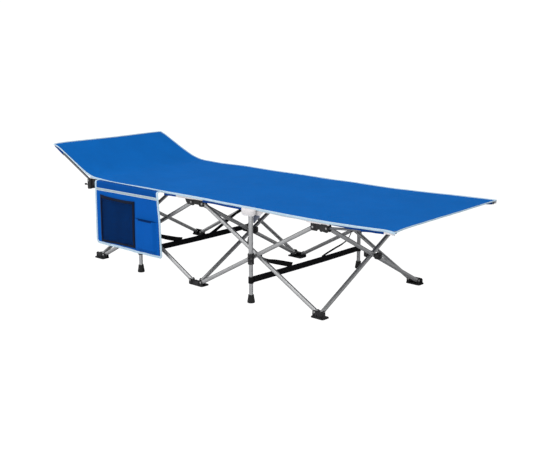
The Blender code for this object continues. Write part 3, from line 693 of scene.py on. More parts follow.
def lap(name, edge, pin_x, pin_z, turn):
    """An end flap's inner edge, which runs on under the saddle. When the rods
    have turned all the way down, its end is still just under the saddle's edge."""
    out = 1 if edge > 0 else -1
    vs = V_LINES[np.abs(V_LINES) < 0.3070]
    at_edge = deck(np.full(len(vs), edge), vs)
    u, w = out * (at_edge[:, 0] - pin_x) - 0.0012, at_edge[:, 2] - pin_z - 0.0010
    turn = math.radians(turn)
    end_x = pin_x + out * (u * math.cos(turn) - w * math.sin(turn))
    fall = deck(end_x, vs)[:, 2] - pin_z - (u * math.sin(turn) + w * math.cos(turn))
    t = np.linspace(-0.16, 1.0, 12)[:, None]
    gx = edge + t * (end_x - edge)[None, :]
    gv = np.broadcast_to(vs, gx.shape)
    drop = 0.0016 + (fall[None, :] - 0.0016) * np.clip(t, 0, 1) ** 2
    middle = deck(gx, gv)
    middle[..., 2] -= drop
    along, across = np.gradient(middle, axis=0) * -out, np.gradient(middle, axis=1)
    normal = np.cross(along, across)
    normal /= np.linalg.norm(normal, axis=-1, keepdims=True)
    if out > 0:
        gx, gv, middle, normal = gx[::-1], gv[::-1], middle[::-1], normal[::-1]
    made = cloth_grid("lap_" + name, gx, gv, middle, normal)
    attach(made, BODY["cloth_" + name])
    return made


def run_along(xs, side):
    """The near or the far edge of the deck: points, and the outward and the
    upward direction of the cloth there."""
    v = np.full(len(xs), side * HALF)
    points = deck(xs, v)
    up = deck_normal(xs, v)
    ahead = np.gradient(points, axis=0)
    ahead /= np.linalg.norm(ahead, axis=1, keepdims=True)
    out = np.cross(ahead, up) * (-1 if side > 0 else 1)
    out /= np.linalg.norm(out, axis=1, keepdims=True)
    return points, out, up


# what hangs below the pale binding along a long edge: from x, to x, depth at
# each end in metres, and whether it is pale patch cloth instead of the blue hem, whose dark navy is painted
# shade
HEMS = [(-0.9500, -0.9200, 0.0030, 0.0015, True), (X0 + 0.4700, -0.1200, 0.0088, 0.0080, False),
        (-0.1200, -0.0250, 0.0090, 0.0062, True), (-0.0250, 0.0340, 0.0062, 0.0030, True),
        (0.0340, X3 - 0.0360, 0.0085, 0.0090, False), (X3 + 0.0360, 0.5640, 0.0020, 0.0024, True),
        (0.5640, 0.6690, 0.0050, 0.0060, True), (0.6690, 0.7400, 0.0020, 0.0045, False),
        (0.7400, 0.9040, 0.0055, 0.0090, False), (0.9040, 0.9500, 0.0085, 0.0045, True)]


def trim_lines(low, high):
    xs = x_lines(low, high, 0.0110)
    for one in HEMS:
        for x in one[:2]:
            if low + 0.0015 < x < high - 0.0015:
                xs = np.append(xs[np.abs(xs - x) > 0.0015], x)
    return np.array(sorted(set(xs.tolist())))


def edge_trim(name, low, high):
    """The binding, what hangs below it and the stitches, on both long edges."""
    made = Shape()
    xs = trim_lines(low, high)
    for side in (NEAR, FAR):
        points, out, up = run_along(xs, side)
        tall = (0.0068 - 0.0016 * smooth_step(-xs, 0.60, 0.70) - 0.0022 * smooth_step(-xs, 0.70, 0.80)
                + 0.0010 * smooth_step(xs, X3, X3 + 0.1) * (1 - smooth_step(xs, X4 + 0.06, X4 + 0.16))
                + 0.00030 * np.sin(61 * xs + side))
        rings = []
        for p, o, n, h in zip(points, out, up, tall):
            # tape folded over the edge: (outward, upward) from the cloth's edge
            stand = 0.0015 if side == FAR else 0.0
            section = [(-0.0026 - stand, 0.0006), (-0.0012 - stand * 0.4, 0.0014 + stand),
                       (0.0009, 0.0013 + stand), (0.0020, 0.0003 + stand * 0.8),
                       (0.0024, -0.0014), (0.0024, -h * 0.5), (0.0022, -h + 0.0005),
                       (0.0018, -h), (0.0012, -h + 0.0003), (0.0012, -h * 0.5),
                       (0.0010, -0.0018), (0.0001, -0.0008), (-0.0024, -0.0006)]
            rings.append([p + a * o + b * (n if b > -0.0010 else np.array((0, 0, 1))) for a, b in section])
        made.rings(rings, 0)
        for start, stop, deep, deeper, pale in HEMS:
            inside = [i for i, x in enumerate(xs) if start - 1e-6 <= x <= stop + 1e-6]
            if len(inside) < 2:
                continue
            hems = []
            for i in inside:
                x, p, o, h = xs[i], points[i], out[i], tall[i]
                share = (x - start) / (stop - start)
                g = deep + (deeper - deep) * share + 0.0004 * math.sin(47 * x + side)
                swing = 0.0003 + 0.0006 * math.sin(33 * x + 2 * side)
                hem = [(0.0012, -0.0012), (0.0013, -h), (0.0013 - swing, -h - g + 0.0004),
                       (0.0009 - swing, -h - g), (0.0004 - swing, -h - g + 0.0004),
                       (0.0002, -h), (0.0002, -0.0012)]
                hems.append([p + a * o + np.array((0, 0, b)) for a, b in hem])
            # the hem's dark navy is painted shade under the edge
            made.rings(hems, 3 if pale else 1)
        # a row of lock stitch beside the binding, in dark navy thread that also paints the shade line of the
        # seam
        count = max(1, round((high - low) / 0.0043))
        for i in range(count):
            x = low + (high - low) * (i + 0.5) / count
            half = 0.00145
            ends = deck(np.array([x - half, x, x + half]), np.full(3, side * SEAM_V))
            n = deck_normal(np.array([x]), np.array([side * SEAM_V]))[0]
            line = [Vector(e) + Vector(n) * (CLOTH_T / 2 + lift)
                    for e, lift in zip(ends, (-0.00005, 0.00022, -0.00005))]
            stitch(made, line, Vector((0, 1, 0)), Vector(n), 2)
    mesh = made.mesh("trim_" + name)
    node = "cloth_" + name
    return piece("trim_" + name, mesh, [BINDING, HEM_NAVY_PAINTED_SHADE, THREAD_NAVY_AND_PAINTED_SHADE, PATCH], BODY[node],
                 40)


def stitch(made, line, side, up, kind, radius=0.00036):
    rings = []
    for i, p in enumerate(line):
        r = radius * (0.55 if i in (0, len(line) - 1) else 1.0)
        rings.append([p + side * r * math.cos(a) + up * r * 0.8 * math.sin(a)
                      for a in [2 * math.pi * j / 6 for j in range(6)]])
    made.rings(rings, kind)


def end_trim(made, x_end, height, lift=0.0, kind=0):
    """The tape round one end of the deck, on both faces of the cloth."""
    vs = np.array([v for v in V_LINES if abs(v) <= 0.3251])
    x = np.full(len(vs), x_end)
    points, up = deck(x, vs), deck_normal(x, vs)
    way = np.sign(x_end)
    ahead = np.gradient(points, axis=0)
    ahead /= np.linalg.norm(ahead, axis=1, keepdims=True)
    out = np.cross(ahead, up)
    out /= np.linalg.norm(out, axis=1, keepdims=True)
    out *= np.sign(out[:, :1]) * way
    rings = []
    for p, o, n, v in zip(points, out, up, vs):
        h = height
        section = [(-0.0060, 0.0006), (-0.0020, 0.0012), (0.0006, 0.0012), (0.0016, 0.0002),
                   (0.0018, -0.0012), (0.0016, -h * 0.6), (0.0009, -h), (0.0002, -h * 0.8),
                   (-0.0002, -0.0012), (-0.0055, -0.0007)]
        rings.append([p + a * o + b * n for a, b in section])
    made.rings(rings, kind)


# --------------------------------------------------------------------- tubes
def tube_shape():
    """A scissor tube: lower pivot at the origin, running up local Z."""
    made = Shape()
    low, high = -TUBE_STUB, TUBE_PIVOTS + TUBE_STUB
    made.lathe([(TUBE_BORE, low), (TUBE_R - 0.0003, low), (TUBE_R, low + 0.0003),
                (TUBE_R, high - 0.0003), (TUBE_R - 0.0003, high), (TUBE_BORE, high)],
               Matrix.Identity(4), 36, 0, loop=True)
    for end, way in ((low, 1), (high, -1)):  # moulded plugs in the open ends
        made.lathe([(0.00001, end + way * 0.0060), (TUBE_BORE - 0.0001, end + way * 0.0060),
                    (TUBE_BORE - 0.0001, end + way * 0.0010),
                    (TUBE_BORE - 0.0008, end + way * 0.0004), (0.00001, end + way * 0.0004)],
                   Matrix.Identity(4), 24, 1)
    mesh = weld(made.mesh("scissor_tube"))
    return mesh


TUBE = tube_shape()


def tube(name, low, high):
    along = (high - low).normalized()
    pin = Vector((0, 1, 0)) if abs(along.x) > 0.1 else Vector((1, 0, 0))
    side = along.cross(pin)
    turn = Matrix((pin, side, along)).transposed().to_4x4()
    mesh = TUBE.copy()
    mesh.transform(Matrix.Translation(low) @ turn)
    piece("visual_" + name, mesh, [STEEL, PLUG], BODY[name], 40, node=name)


def side_tube(name, near, middle_low, end, plane):
    out = 1 if end > X2 else -1
    y = near * plane
    middle, far_end = X2 + out * U_MID, end - out * U_END
    low, high = (middle, far_end) if middle_low else (far_end, middle)
    tube(name, at(low, y, PIVOT_LOW), at(high, y, PIVOT_HIGH))


def cross_tube(name, station, offset, low_side):
    x = station + offset
    tube(name, at(x, low_side * V_CROSS, PIVOT_LOW), at(x, -low_side * V_CROSS, PIVOT_HIGH))


for side_name, side in (("near", NEAR), ("far", FAR)):
    for end_name, end in (("foot_end", X4), ("head_end", X0)):
        side_tube(f"side_tube_{side_name}_middle_foot_to_{end_name}_hub", side, True, end, V_OUTER)
        side_tube(f"side_tube_{side_name}_middle_hub_to_{end_name}_foot", side, False, end, V_INNER)
cross_tube("cross_tube_middle_low_near", X2, U_CROSS, NEAR)
cross_tube("cross_tube_middle_low_far", X2, -U_CROSS, FAR)
cross_tube("cross_tube_foot_end_low_near", X4, -U_CROSS, NEAR)
cross_tube("cross_tube_foot_end_low_far", X4, U_CROSS, FAR)
cross_tube("cross_tube_head_end_low_near", X0, U_CROSS, NEAR)
cross_tube("cross_tube_head_end_low_far", X0, -U_CROSS, FAR)


# ---------------------------------------------------------------------- hubs
def hub(name, station, sx, sy, top, sides, plane, cross, plate_u, cheek_t, housing=None,
        inner_head=True, outer_head=True):
    """A foot or a top hub: u runs outwards along X from the station and v
    outwards across the bed.  Moulding first, then its rivets."""
    body, metal_parts = Shape(), Shape()
    z = PIVOT_HIGH if top else PIVOT_LOW
    base = TOP_UNDER + 0.001 if top else PLATE_T - 0.001
    face = plane + EAR_GAP + cheek_t
    plate_z = (TOP_UNDER, TOP_OVER) if top else (0.0, PLATE_T)
    cheek_z = (SKIRT, TOP_OVER - 0.0008) if top else (0.0008, CHEEK_TOP)
    plate_v = (0.2790, face if top else max(face, 0.3185))
    corner = 0.0050 if top else 0.0080
    body.solid(prism(rounded_rectangle(plate_u, plate_v, [corner] * 4), "Z", *plate_z, 0.0011))
    if not top:  # a raised rib frames the foot plate
        body.solid(prism(rounded_rectangle((plate_u[0] + 0.0022, plate_u[1] - 0.0022),
                                           (plate_v[0] + 0.0022, plate_v[1] - 0.0022),
                                           [0.006] * 4), "Z", PLATE_T - 0.0004, PLATE_T + 0.0009,
                         0.0006))
    u_low, u_high = plate_u[0] + 0.0012, plate_u[1] - 0.0012
    low, high = cheek_z
    waist = [(-0.0195, low), (-0.0165, low + 0.0016), (-0.0135, low + 0.0062),
             (-0.0110, low + 0.0074), (0.0110, low + 0.0074), (0.0135, low + 0.0062),
             (0.0165, low + 0.0016), (0.0195, low)]
    if top and len(sides) == 2:  # two knuckles, and a tail under the plate
        cheek = (arc(u_low + 0.0062, low + 0.0062, 0.0062, 180, 270, 5) + waist
                 + arc(0.0373 - 0.0062, low + 0.0062, 0.0062, 270, 335, 4)
                 + [(0.0392, low + 0.0062), (0.0408, low + 0.0058), (0.0425, low + 0.0026),
                    (0.0450, low + 0.0016), (0.0505, low + 0.0020), (0.0580, low + 0.0085),
                    (u_high, high - 0.0100), (u_high, high), (u_low, high)])
    elif top:
        cheek = (arc(u_low + 0.0062, low + 0.0062, 0.0062, 180, 270, 5)
                 + [(u + 0.0080, z_) for u, z_ in waist[:4]]
                 + [(0.0000, low + 0.0074), (0.0022, low + 0.0062), (0.0040, low + 0.0016)]
                 + arc(0.0145 - 0.0050, low + 0.0050, 0.0050, 270, 360, 4)
                 + [(0.0145, high - 0.0040), (u_high, high - 0.0022), (u_high, high), (u_low, high)])
    elif len(sides) == 2:
        cheek = ([(u_low, low), (u_high, low)] + arc(u_high - 0.0066, high - 0.0066, 0.0066, 0, 90, 5)
                 + [(-u, high + low - z_) for u, z_ in waist]
                 + arc(u_low + 0.0066, high - 0.0066, 0.0066, 90, 180, 5))
    else:
        cheek = rounded_rectangle((u_low, u_high), cheek_z, [0.0006, 0.0006, 0.0066, 0.0066])
    body.solid(prism(cheek, "Y", plane + EAR_GAP, face - 0.0002, 0.0006))
    for u in sides:
        body.solid(prism(tongue((u, z), base, EAR_R), "Y", plane - EAR_GAP - EAR_T,
                         plane - EAR_GAP, 0.0005))
        # a boss round the pin, standing a little out of the cheek
        body.lathe([(0.0062, -0.0008), (0.0062, 0.0001), (0.0057, 0.0005), (0.00001, 0.0005)],
                   along_axis("Y", face - 0.0002, (u, z)), 24)
        # upright ribs stiffen the cheek each side of the boss
        for shift in (-0.0128, -0.0096, 0.0096, 0.0128):
            if u_low + 0.0030 < u + shift < 0.0345 and abs(u + shift) < 0.0345:
                body.solid(prism([(u + shift - 0.0008, low + 0.0035), (u + shift + 0.0008, low + 0.0035),
                                  (u + shift + 0.0008, high - 0.0035), (u + shift - 0.0008, high - 0.0035)],
                                 "Y", face - 0.0006, face + 0.0007, 0.0003))
        metal_parts.lathe([(PIN_R, 0), (PIN_R, 2 * EAR_GAP)],
                          along_axis("Y", plane - EAR_GAP, (u, z)), 16)
        metal_parts.lathe(dome(), along_axis("Y", face + 0.0001, (u, z)), 24)
        turned_in = along_axis("Y", plane - EAR_GAP - EAR_T, (u, z)) @ Matrix.Rotation(math.pi, 4, "X")
        metal_parts.lathe(dome(), turned_in, 24)
        # stiffening ribs between the plate and the cheek, each side of the pin
        for shift in (-0.0105, 0.0105):
            if u_low + 0.002 < u + shift < u_high - 0.002:
                a, b = (TOP_UNDER + 0.001, SKIRT + 0.008) if top else (PLATE_T - 0.001, CHEEK_TOP - 0.007)
                if not top and face + 0.006 < plate_v[1] + 0.006:
                    rib = [(face - 0.001, a), (min(plate_v[1] - 0.0012, face + 0.006), a), (face - 0.001, b)]
                    if rib[1][0] > face + 0.001:
                        body.solid(prism(rib, "X", u + shift - 0.0009, u + shift + 0.0009, 0.0003))
    for way, rivet in ((-1, inner_head), (1, outer_head)):
        ear = sorted((cross + way * EAR_GAP, cross + way * (EAR_GAP + EAR_T)))
        body.solid(prism(tongue((V_CROSS, z), base, EAR_R), "X", *ear, 0.0005))
        if rivet:
            seat = along_axis("X", cross + way * (EAR_GAP + EAR_T), (V_CROSS, z))
            if way < 0:
                seat = seat @ Matrix.Rotation(math.pi, 4, "X")
            metal_parts.lathe(dome(), seat, 24)
    metal_parts.lathe([(PIN_R, 0), (PIN_R, 2 * EAR_GAP + 0.001)],
                      along_axis("X", cross - EAR_GAP - 0.0005, (V_CROSS, z)), 16)
    if len(sides) == 1:
        if top:
            end_cheek = rounded_rectangle((V_CROSS + 0.002, face - 0.0008), cheek_z,
                                          [0.005, 0.005, 0.0006, 0.0006])
        else:
            end_cheek = rounded_rectangle((V_CROSS + 0.002, face - 0.0008), cheek_z,
                                          [0.0006, 0.0006, 0.005, 0.005])
        body.solid(prism(end_cheek, "X", cross + EAR_GAP + 0.0002, cross + EAR_GAP + EAR_T - 0.0002,
                         0.0005))
    web_u = (-0.0155, 0.0155) if len(sides) == 2 else (-0.0150, plate_u[1] - 0.0022)
    web_z = (SKIRT + 0.006, TOP_UNDER + 0.002) if top else (PLATE_T - 0.002, CHEEK_TOP - 0.006)
    body.solid(box(web_u, (0.3030, face - 0.0010), web_z, 0.0012))
    if housing:
        housing(body, metal_parts)
    place = Matrix(((sx, 0, 0, station), (0, sy, 0, CENTRE_Y), (0, 0, 1, 0), (0, 0, 0, 1)))
    for shape, label, materials, slot, node in (
        (body, "visual_" + name, [MOULDING], "black_moulding", name),
        (metal_parts, "rivets_" + name, [RIVET], "tube_steel", None),
    ):
        mesh = shape.mesh(label)
        mesh.transform(place)
        made = piece(label, mesh, materials, BODY[name], 40, node=node)
        if label.startswith("visual"):
            weighted = made.modifiers.new("even normals", "WEIGHTED_NORMAL")
            weighted.keep_sharp = True


ROD_V, ROD_U, HEAD_ROD_U = 0.3145, 0.036, 0.0295
HEAD_ROD_Z, HEAD_ROD_TIP = 0.348, {NEAR: (-0.940, 0.4765), FAR: (-0.940, 0.4725)}
FOOT_ROD_Z, FOOT_ROD_TIP = 0.3405, {NEAR: (0.940, 0.3708), FAR: (0.940, 0.3738)}


def rod_housing(rod_u, rod_z, low, high, reach):
    """Two cheeks outboard of a top hub that hold an end rod's hinge pin."""

    def add(body, metal_parts):
        r = 0.0062
        ends = ([(0.0120, low + 0.003)] + arc(reach - r, low + r, r, 270, 360, 5)
                + arc(reach - r, high - r, r, 0, 90, 5) + [(0.0120, high)])
        body.solid(prism(ends, "Y", 0.3200, 0.3262, 0.0009, 40))
        body.solid(prism(ends, "Y", 0.3045, 0.3090, 0.0007, 40))
        body.solid(box((0.0110, 0.0215), (0.3040, 0.3255), (low + 0.004, TOP_OVER - 0.0004), 0.0008))
        inner = [(0.0155, low + 0.0052), (reach - 0.0105, low + 0.0042),
                 (reach - 0.0045, low + 0.0095), (reach - 0.0045, high - 0.0095),
                 (reach - 0.0105, high - 0.0042), (0.0155, high - 0.0042)]
        body.solid(prism(inner, "Y", 0.3255, 0.3268, 0.0005, 40))
        # a pocket moulded into the outer cheek, beside the pin
        body.solid(prism([(0.0150, low + 0.0012), (0.0185, low + 0.0012), (0.0185, high - 0.0012),
                          (0.0150, high - 0.0012)], "Y", 0.3255, 0.3276, 0.0005))
        metal_parts.lathe([(0.0018, 0), (0.0018, 0.0160)],
                          along_axis("Y", 0.3065, (rod_u, rod_z)), 16)
        metal_parts.lathe(dome(0.0014, 0.0040), along_axis("Y", 0.3266, (rod_u, rod_z)), 24)

    return add


MID_PLATE, END_PLATE, END_PLATE_WIDE = (-0.0385, 0.0385), (-0.0400, 0.0200), (-0.0400, 0.0260)
TOP_PLATE, TOP_PLATE_FAR, TOP_MID_PLATE = (-0.0400, 0.0240), (-0.0400, 0.0200), (-0.0385, 0.0680)
SIDES_MID, SIDE_END, THIN, THICK = (-U_MID, U_MID), (-U_END,), EAR_T, 0.0055

hub("foot_middle_near", X2, 1, NEAR, False, SIDES_MID, V_OUTER, U_CROSS, MID_PLATE, THIN)
hub("foot_middle_far", X2, -1, FAR, False, SIDES_MID, V_OUTER, U_CROSS, MID_PLATE, THIN)
hub("top_hub_middle_near", X2, -1, NEAR, True, SIDES_MID, V_INNER, U_CROSS, TOP_MID_PLATE, THICK,
    outer_head=False)
hub("top_hub_middle_far", X2, 1, FAR, True, SIDES_MID, V_INNER, U_CROSS, TOP_MID_PLATE, THICK,
    outer_head=False)
for end_name, end, sx, housing in (
    ("foot_end", X4, 1, rod_housing(ROD_U, FOOT_ROD_Z, 0.3250, 0.3545, 0.0430)),
    ("head_end", X0, -1, rod_housing(HEAD_ROD_U, HEAD_ROD_Z, 0.3105, 0.3565, 0.0365)),
):
    hub(f"foot_{end_name}_near", end, sx, NEAR, False, SIDE_END, V_INNER, -U_CROSS, END_PLATE,
        THICK, inner_head=False)
    hub(f"foot_{end_name}_far", end, sx, FAR, False, SIDE_END, V_INNER, U_CROSS, END_PLATE_WIDE,
        THICK)
    hub(f"top_hub_{end_name}_near", end, sx, NEAR, True, SIDE_END, V_OUTER, U_CROSS, TOP_PLATE,
        THIN, housing)
    hub(f"top_hub_{end_name}_far", end, sx, FAR, True, SIDE_END, V_OUTER, -U_CROSS, TOP_PLATE_FAR,
        THIN, housing, inner_head=False)

for side_name, side in (("near", NEAR), ("far", FAR)):
    knob = Shape()
    knob.lathe([(0.00001, 0), (0.0022, 0), (0.0022, 0.0083), (0.0030, 0.0088), (0.0038, 0.0093),
                (0.0044, 0.0106), (0.00455, 0.0125), (0.0044, 0.0155), (0.0041, 0.0166),
                (0.0035, 0.0175), (0.0026, 0.0180), (0.00001, 0.0180)],
               Matrix.Translation(at(X0 - 0.0368, side * 0.3250, 0.3300))
               @ Matrix.Rotation(-math.pi / 2, 4, "Y"), 28)
    name = f"release_knob_{side_name}"
    piece("visual_" + name, knob.mesh(name), [MOULDING], BODY[name], 40, node=name)


# ---------------------------------------------------------------- cross hubs
def cross_hub(name, station):
    cup = [(-0.016 * math.cos(math.pi * i / 16), PIVOT_MID - 0.0025 - 0.010 * math.sin(math.pi * i / 16))
           for i in range(17)]
    outline = ([(0.016, PIVOT_MID + 0.0095), (0.0150, PIVOT_MID + 0.0117), (0.013, PIVOT_MID + 0.0125),
                (-0.013, PIVOT_MID + 0.0125), (-0.0150, PIVOT_MID + 0.0117),
                (-0.016, PIVOT_MID + 0.0095)] + cup)
    body, bolts = Shape(), Shape()
    for way in (-1, 1):
        low, high = sorted((station + way * 0.0170, station + way * 0.0320))
        body.solid(prism([(CENTRE_Y + a, b) for a, b in outline], "X", low, high, 0.0013, 30))
        body.lathe([(0.0088, 0), (0.0088, 0.0006), (0.0080, 0.0011), (0.00001, 0.0011)],
                   along_axis("X", station + way * 0.0318, (CENTRE_Y, PIVOT_MID))
                   @ (Matrix.Identity(4) if way > 0 else Matrix.Rotation(math.pi, 4, "X")), 28)
    bolts.lathe([(PIN_R, 0), (PIN_R, 0.064)],
                along_axis("X", station - 0.0320, (CENTRE_Y, PIVOT_MID)), 16)
    for way, radius, end in ((1, 0.0060, 0.0360), (-1, 0.0056, 0.0350)):
        hexagon = [(CENTRE_Y + radius * math.cos(math.pi * (i + 0.5) / 3),
                    PIVOT_MID + radius * math.sin(math.pi * (i + 0.5) / 3)) for i in range(6)]
        low, high = sorted((station + way * 0.0326, station + way * end))
        bolts.solid(prism(hexagon, "X", low, high, 0.0006))
    piece("visual_" + name, body.mesh(name), [MOULDING], BODY[name], 35, node=name)
    piece("bolt_" + name, bolts.mesh("bolt_" + name), [BOLT], BODY[name], 35)


for name, station in (("middle", X2), ("foot_end", X4), ("head_end", X0)):
    cross_hub("cross_hub_" + name, station)


# --------------------------------------------------------------------- poles
def pole_set(label, x, side):
    axis = Matrix.Translation(at(x, side * POLE_V, 0))
    body = BODY["pole_" + label]
    shaft = Shape()
    shaft.lathe([(0.0065, 0.356), (0.0082, 0.356), (0.0085, 0.3557), (0.0085, 0.1603),
                 (0.0083, 0.1600), (0.00775, 0.1590), (0.00775, 0.0065), (0.0065, 0.0065)],
                axis, 40, 0, loop=True)
    shaft.lathe([(0.00001, 0.350), (0.0064, 0.350), (0.0064, 0.3552), (0.0058, 0.3557),
                 (0.00001, 0.3557)], axis, 24, 1)
    piece("visual_pole_" + label, weld(shaft.mesh("pole")), [STEEL, PLUG], body, 40,
          node="pole_" + label)

    collar = Shape()
    collar.lathe([(0.0088, 0.1900), (0.0117, 0.1900), (0.0125, 0.1892), (0.0126, 0.1868),
                  (0.0122, 0.1860), (0.0122, 0.1712), (0.0126, 0.1704), (0.0126, 0.1686),
                  (0.0120, 0.1678), (0.0117, 0.1670), (0.0117, 0.1540), (0.0120, 0.1533),
                  (0.0120, 0.1508), (0.0113, 0.1500), (0.0088, 0.1500)], axis, 36, 0, loop=True)

    def across(start, end):
        return at(x, side * start, PIVOT_MID), abs(end - start)

    turn = Matrix.Rotation(math.pi / 2 * side, 4, "X")  # its Z runs inwards
    here, _ = across(0.3225, 0.3190)
    seat = Matrix.Translation(here) @ turn
    collar.lathe([(0.00001, 0.0), (0.0080, 0.0), (0.0080, 0.0029), (0.0074, 0.0035),
                  (0.00001, 0.0035)], seat, 28)
    # the outer face of the clamp, with its screw boss
    far_seat = Matrix.Translation(at(x, side * (POLE_V + 0.0112), PIVOT_MID)) @ turn
    collar.lathe([(0.00001, -0.0022), (0.0046, -0.0022), (0.0052, -0.0016), (0.0052, 0.0030),
                  (0.00001, 0.0030)], far_seat, 24)
    piece("visual_collar_" + label, collar.mesh("collar"), [MOULDING], body, 35,
          node="crossing_collar_" + label)
    pin = Shape()
    pin.lathe([(PIN_R, 0), (PIN_R, 0.0385)], seat, 16)
    inner = Matrix.Translation(at(x, side * 0.2850, PIVOT_MID)) @ turn
    pin.lathe([(0.00001, 0.0), (0.0050, 0.0), (0.0050, 0.0008), (0.0042, 0.0018), (0.0024, 0.0024),
               (0.00001, 0.0025)], inner, 24)
    piece("pin_" + label, pin.mesh("pin"), [RIVET], body, 35)

    boot = Shape()
    boot.lathe([(0.00001, 0.0062), (0.0081, 0.0062), (0.0081, 0.0304), (0.0086, 0.0310),
                (0.0104, 0.0310), (0.0110, 0.0304), (0.0112, 0.0284), (0.0111, 0.0268),
                (0.0106, 0.0262), (0.0106, 0.0256), (0.0113, 0.0250), (0.0120, 0.0206),
                (0.0120, 0.0200), (0.0116, 0.0196), (0.0117, 0.0190), (0.0123, 0.0184),
                (0.0138, 0.0090), (0.0144, 0.0062), (0.0145, 0.0048), (0.0145, 0.0014),
                (0.0142, 0.0004), (0.0135, 0.0), (0.0100, 0.0), (0.0096, 0.0006),
                (0.0080, 0.0006), (0.0076, 0.0), (0.00001, 0.0)], axis, 40)
    piece("visual_boot_" + label, boot.mesh("boot"), [RUBBER], body, 32,
          node="pole_foot_" + label)


for label, x, side in (("head_bay_near", X1, NEAR), ("head_bay_far", X1, FAR),
                       ("foot_bay_near", X3, NEAR), ("foot_bay_far", X3, FAR)):
    pole_set(label, x, side)


# ------------------------------------------------------------------ end rods
def end_rod(name, pin_x, side, height, tip):
    hinge, end = at(pin_x, side * ROD_V, height), at(tip[0], side * ROD_V, tip[1])
    along = end - hinge
    length = along.length
    along.normalize()
    pin = Vector((0, 1, 0))
    turn = Matrix((pin.cross(along), pin, along)).transposed().to_4x4()
    rod = Shape()
    rod.lathe([(0.0031, -0.0055), (0.0042, -0.0055), (0.0045, -0.0052), (0.0045, length - 0.0003),
               (0.0042, length), (0.0031, length)], Matrix.Translation(hinge) @ turn, 24, 0, loop=True)
    piece("visual_" + name, weld(rod.mesh(name)), [ROD_STEEL_PAINTED_SHADE], BODY[name], 40, node=name)


for side_name, side in (("near", NEAR), ("far", FAR)):
    end_rod(f"head_rod_{side_name}", X0 - HEAD_ROD_U, side, HEAD_ROD_Z, HEAD_ROD_TIP[side])
    end_rod(f"foot_rod_{side_name}", X4 + ROD_U, side, FOOT_ROD_Z, FOOT_ROD_TIP[side])


# ---------------------------------------------------------------------- deck
for node, low, high in zip(PANELS, LIMITS[:-1], LIMITS[1:]):
    short = node[len("cloth_"):]
    sheet = deck_panel(short, low, high)
    trim = edge_trim(short, low, high)
    if node in ("cloth_flap_head", "cloth_flap_foot"):
        ends = Shape()
        end_trim(ends, low if low < -0.9 else high, 0.0022)
        tape = piece("tape_" + short, ends.mesh("tape"), [BINDING if low > 0 else BINDING],
                     BODY[node], 40)
        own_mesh(tape)
        under = (lap(short, high, X0 - HEAD_ROD_U, HEAD_ROD_Z, 116) if low < -0.9
                 else lap(short, low, X4 + ROD_U, FOOT_ROD_Z, 94))
        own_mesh(under)
    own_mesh(sheet)
    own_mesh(trim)


# ----------------------------------------------------------------- organiser
# the hanging cloth from under the deck's binding, over the pole's top and down:
# distance across the bed and height
BEND = np.array([(0.3274, 0.3607), (0.3300, 0.3611), (0.3340, 0.3613), (0.3400, 0.3612),
                 (0.3455, 0.3609), (0.3488, 0.3595), (0.3503, 0.3564), (0.3508, 0.3510),
                 (0.3508, 0.3400)])
BEND_S = np.concatenate([[0], np.cumsum(np.linalg.norm(np.diff(BEND, axis=0), axis=1))])
S_STRAIGHT = float(BEND_S[-1])
ORG_LEFT, ORG_BOTTOM = -0.6105, 0.0872


def down_at(z):
    """Distance along the hanging cloth of a height on its straight part."""
    return S_STRAIGHT + BEND[-1, 1] - z


def org_right(s):
    z = BEND[-1, 1] - (np.asarray(s, float) - S_STRAIGHT)
    return np.interp(z, [0.087, 0.1136, 0.2434, 0.3400, 0.3572], [-0.1850, -0.1860, -0.1908, -0.2000, -0.2020])


def hang(x, s, out=0.0):
    """A point of the hanging cloth, at x and at distance s down it, and out
    metres in front of its middle surface."""
    x, s = np.asarray(x, float), np.asarray(s, float)
    held = np.clip(s, 0, S_STRAIGHT)
    v = smooth_curve(held, np.stack([BEND_S, BEND[:, 0]], 1))
    z = smooth_curve(held, np.stack([BEND_S, BEND[:, 1]], 1))
    down = np.maximum(s - S_STRAIGHT, 0)
    grow = np.clip(down / 0.25, 0, 1)
    wave = (0.0016 * np.sin(2 * np.pi * (x + 0.60) / 0.235 + 0.4) + 0.0009 * np.sin(
        2 * np.pi * (x + 0.60) / 0.092 + 1.3 + 6 * down) + 0.0012)
    v = v + wave * grow + 0.0006 * np.sin(31 * x + 1.0) * (down > 0) * np.clip(down / 0.03, 0, 1)
    # it leans out over the clamp of the pole behind it
    v = v + 0.0018 * np.exp(-((x - X1) / 0.055) ** 2 - ((z - down - PIVOT_MID) / 0.070) ** 2)
    z = z - down
    slope = np.interp(held, BEND_S, np.gradient(BEND[:, 1], BEND_S))
    lie = np.clip(-slope, 0, 1)  # 0 while the cloth lies flat, 1 once it hangs
    return np.stack([x + 0 * z, CENTRE_Y - v - out * lie, z + out * np.sqrt(1 - lie**2)], -1)


def corner_rise(inset, radius):
    """How far a rounded lower corner rises, at a distance in from the side."""
    q = np.clip(radius - inset, 0, radius)
    return radius - np.sqrt(np.maximum(radius**2 - q**2, 0))


ORG_BODY = BODY["side_organiser"]


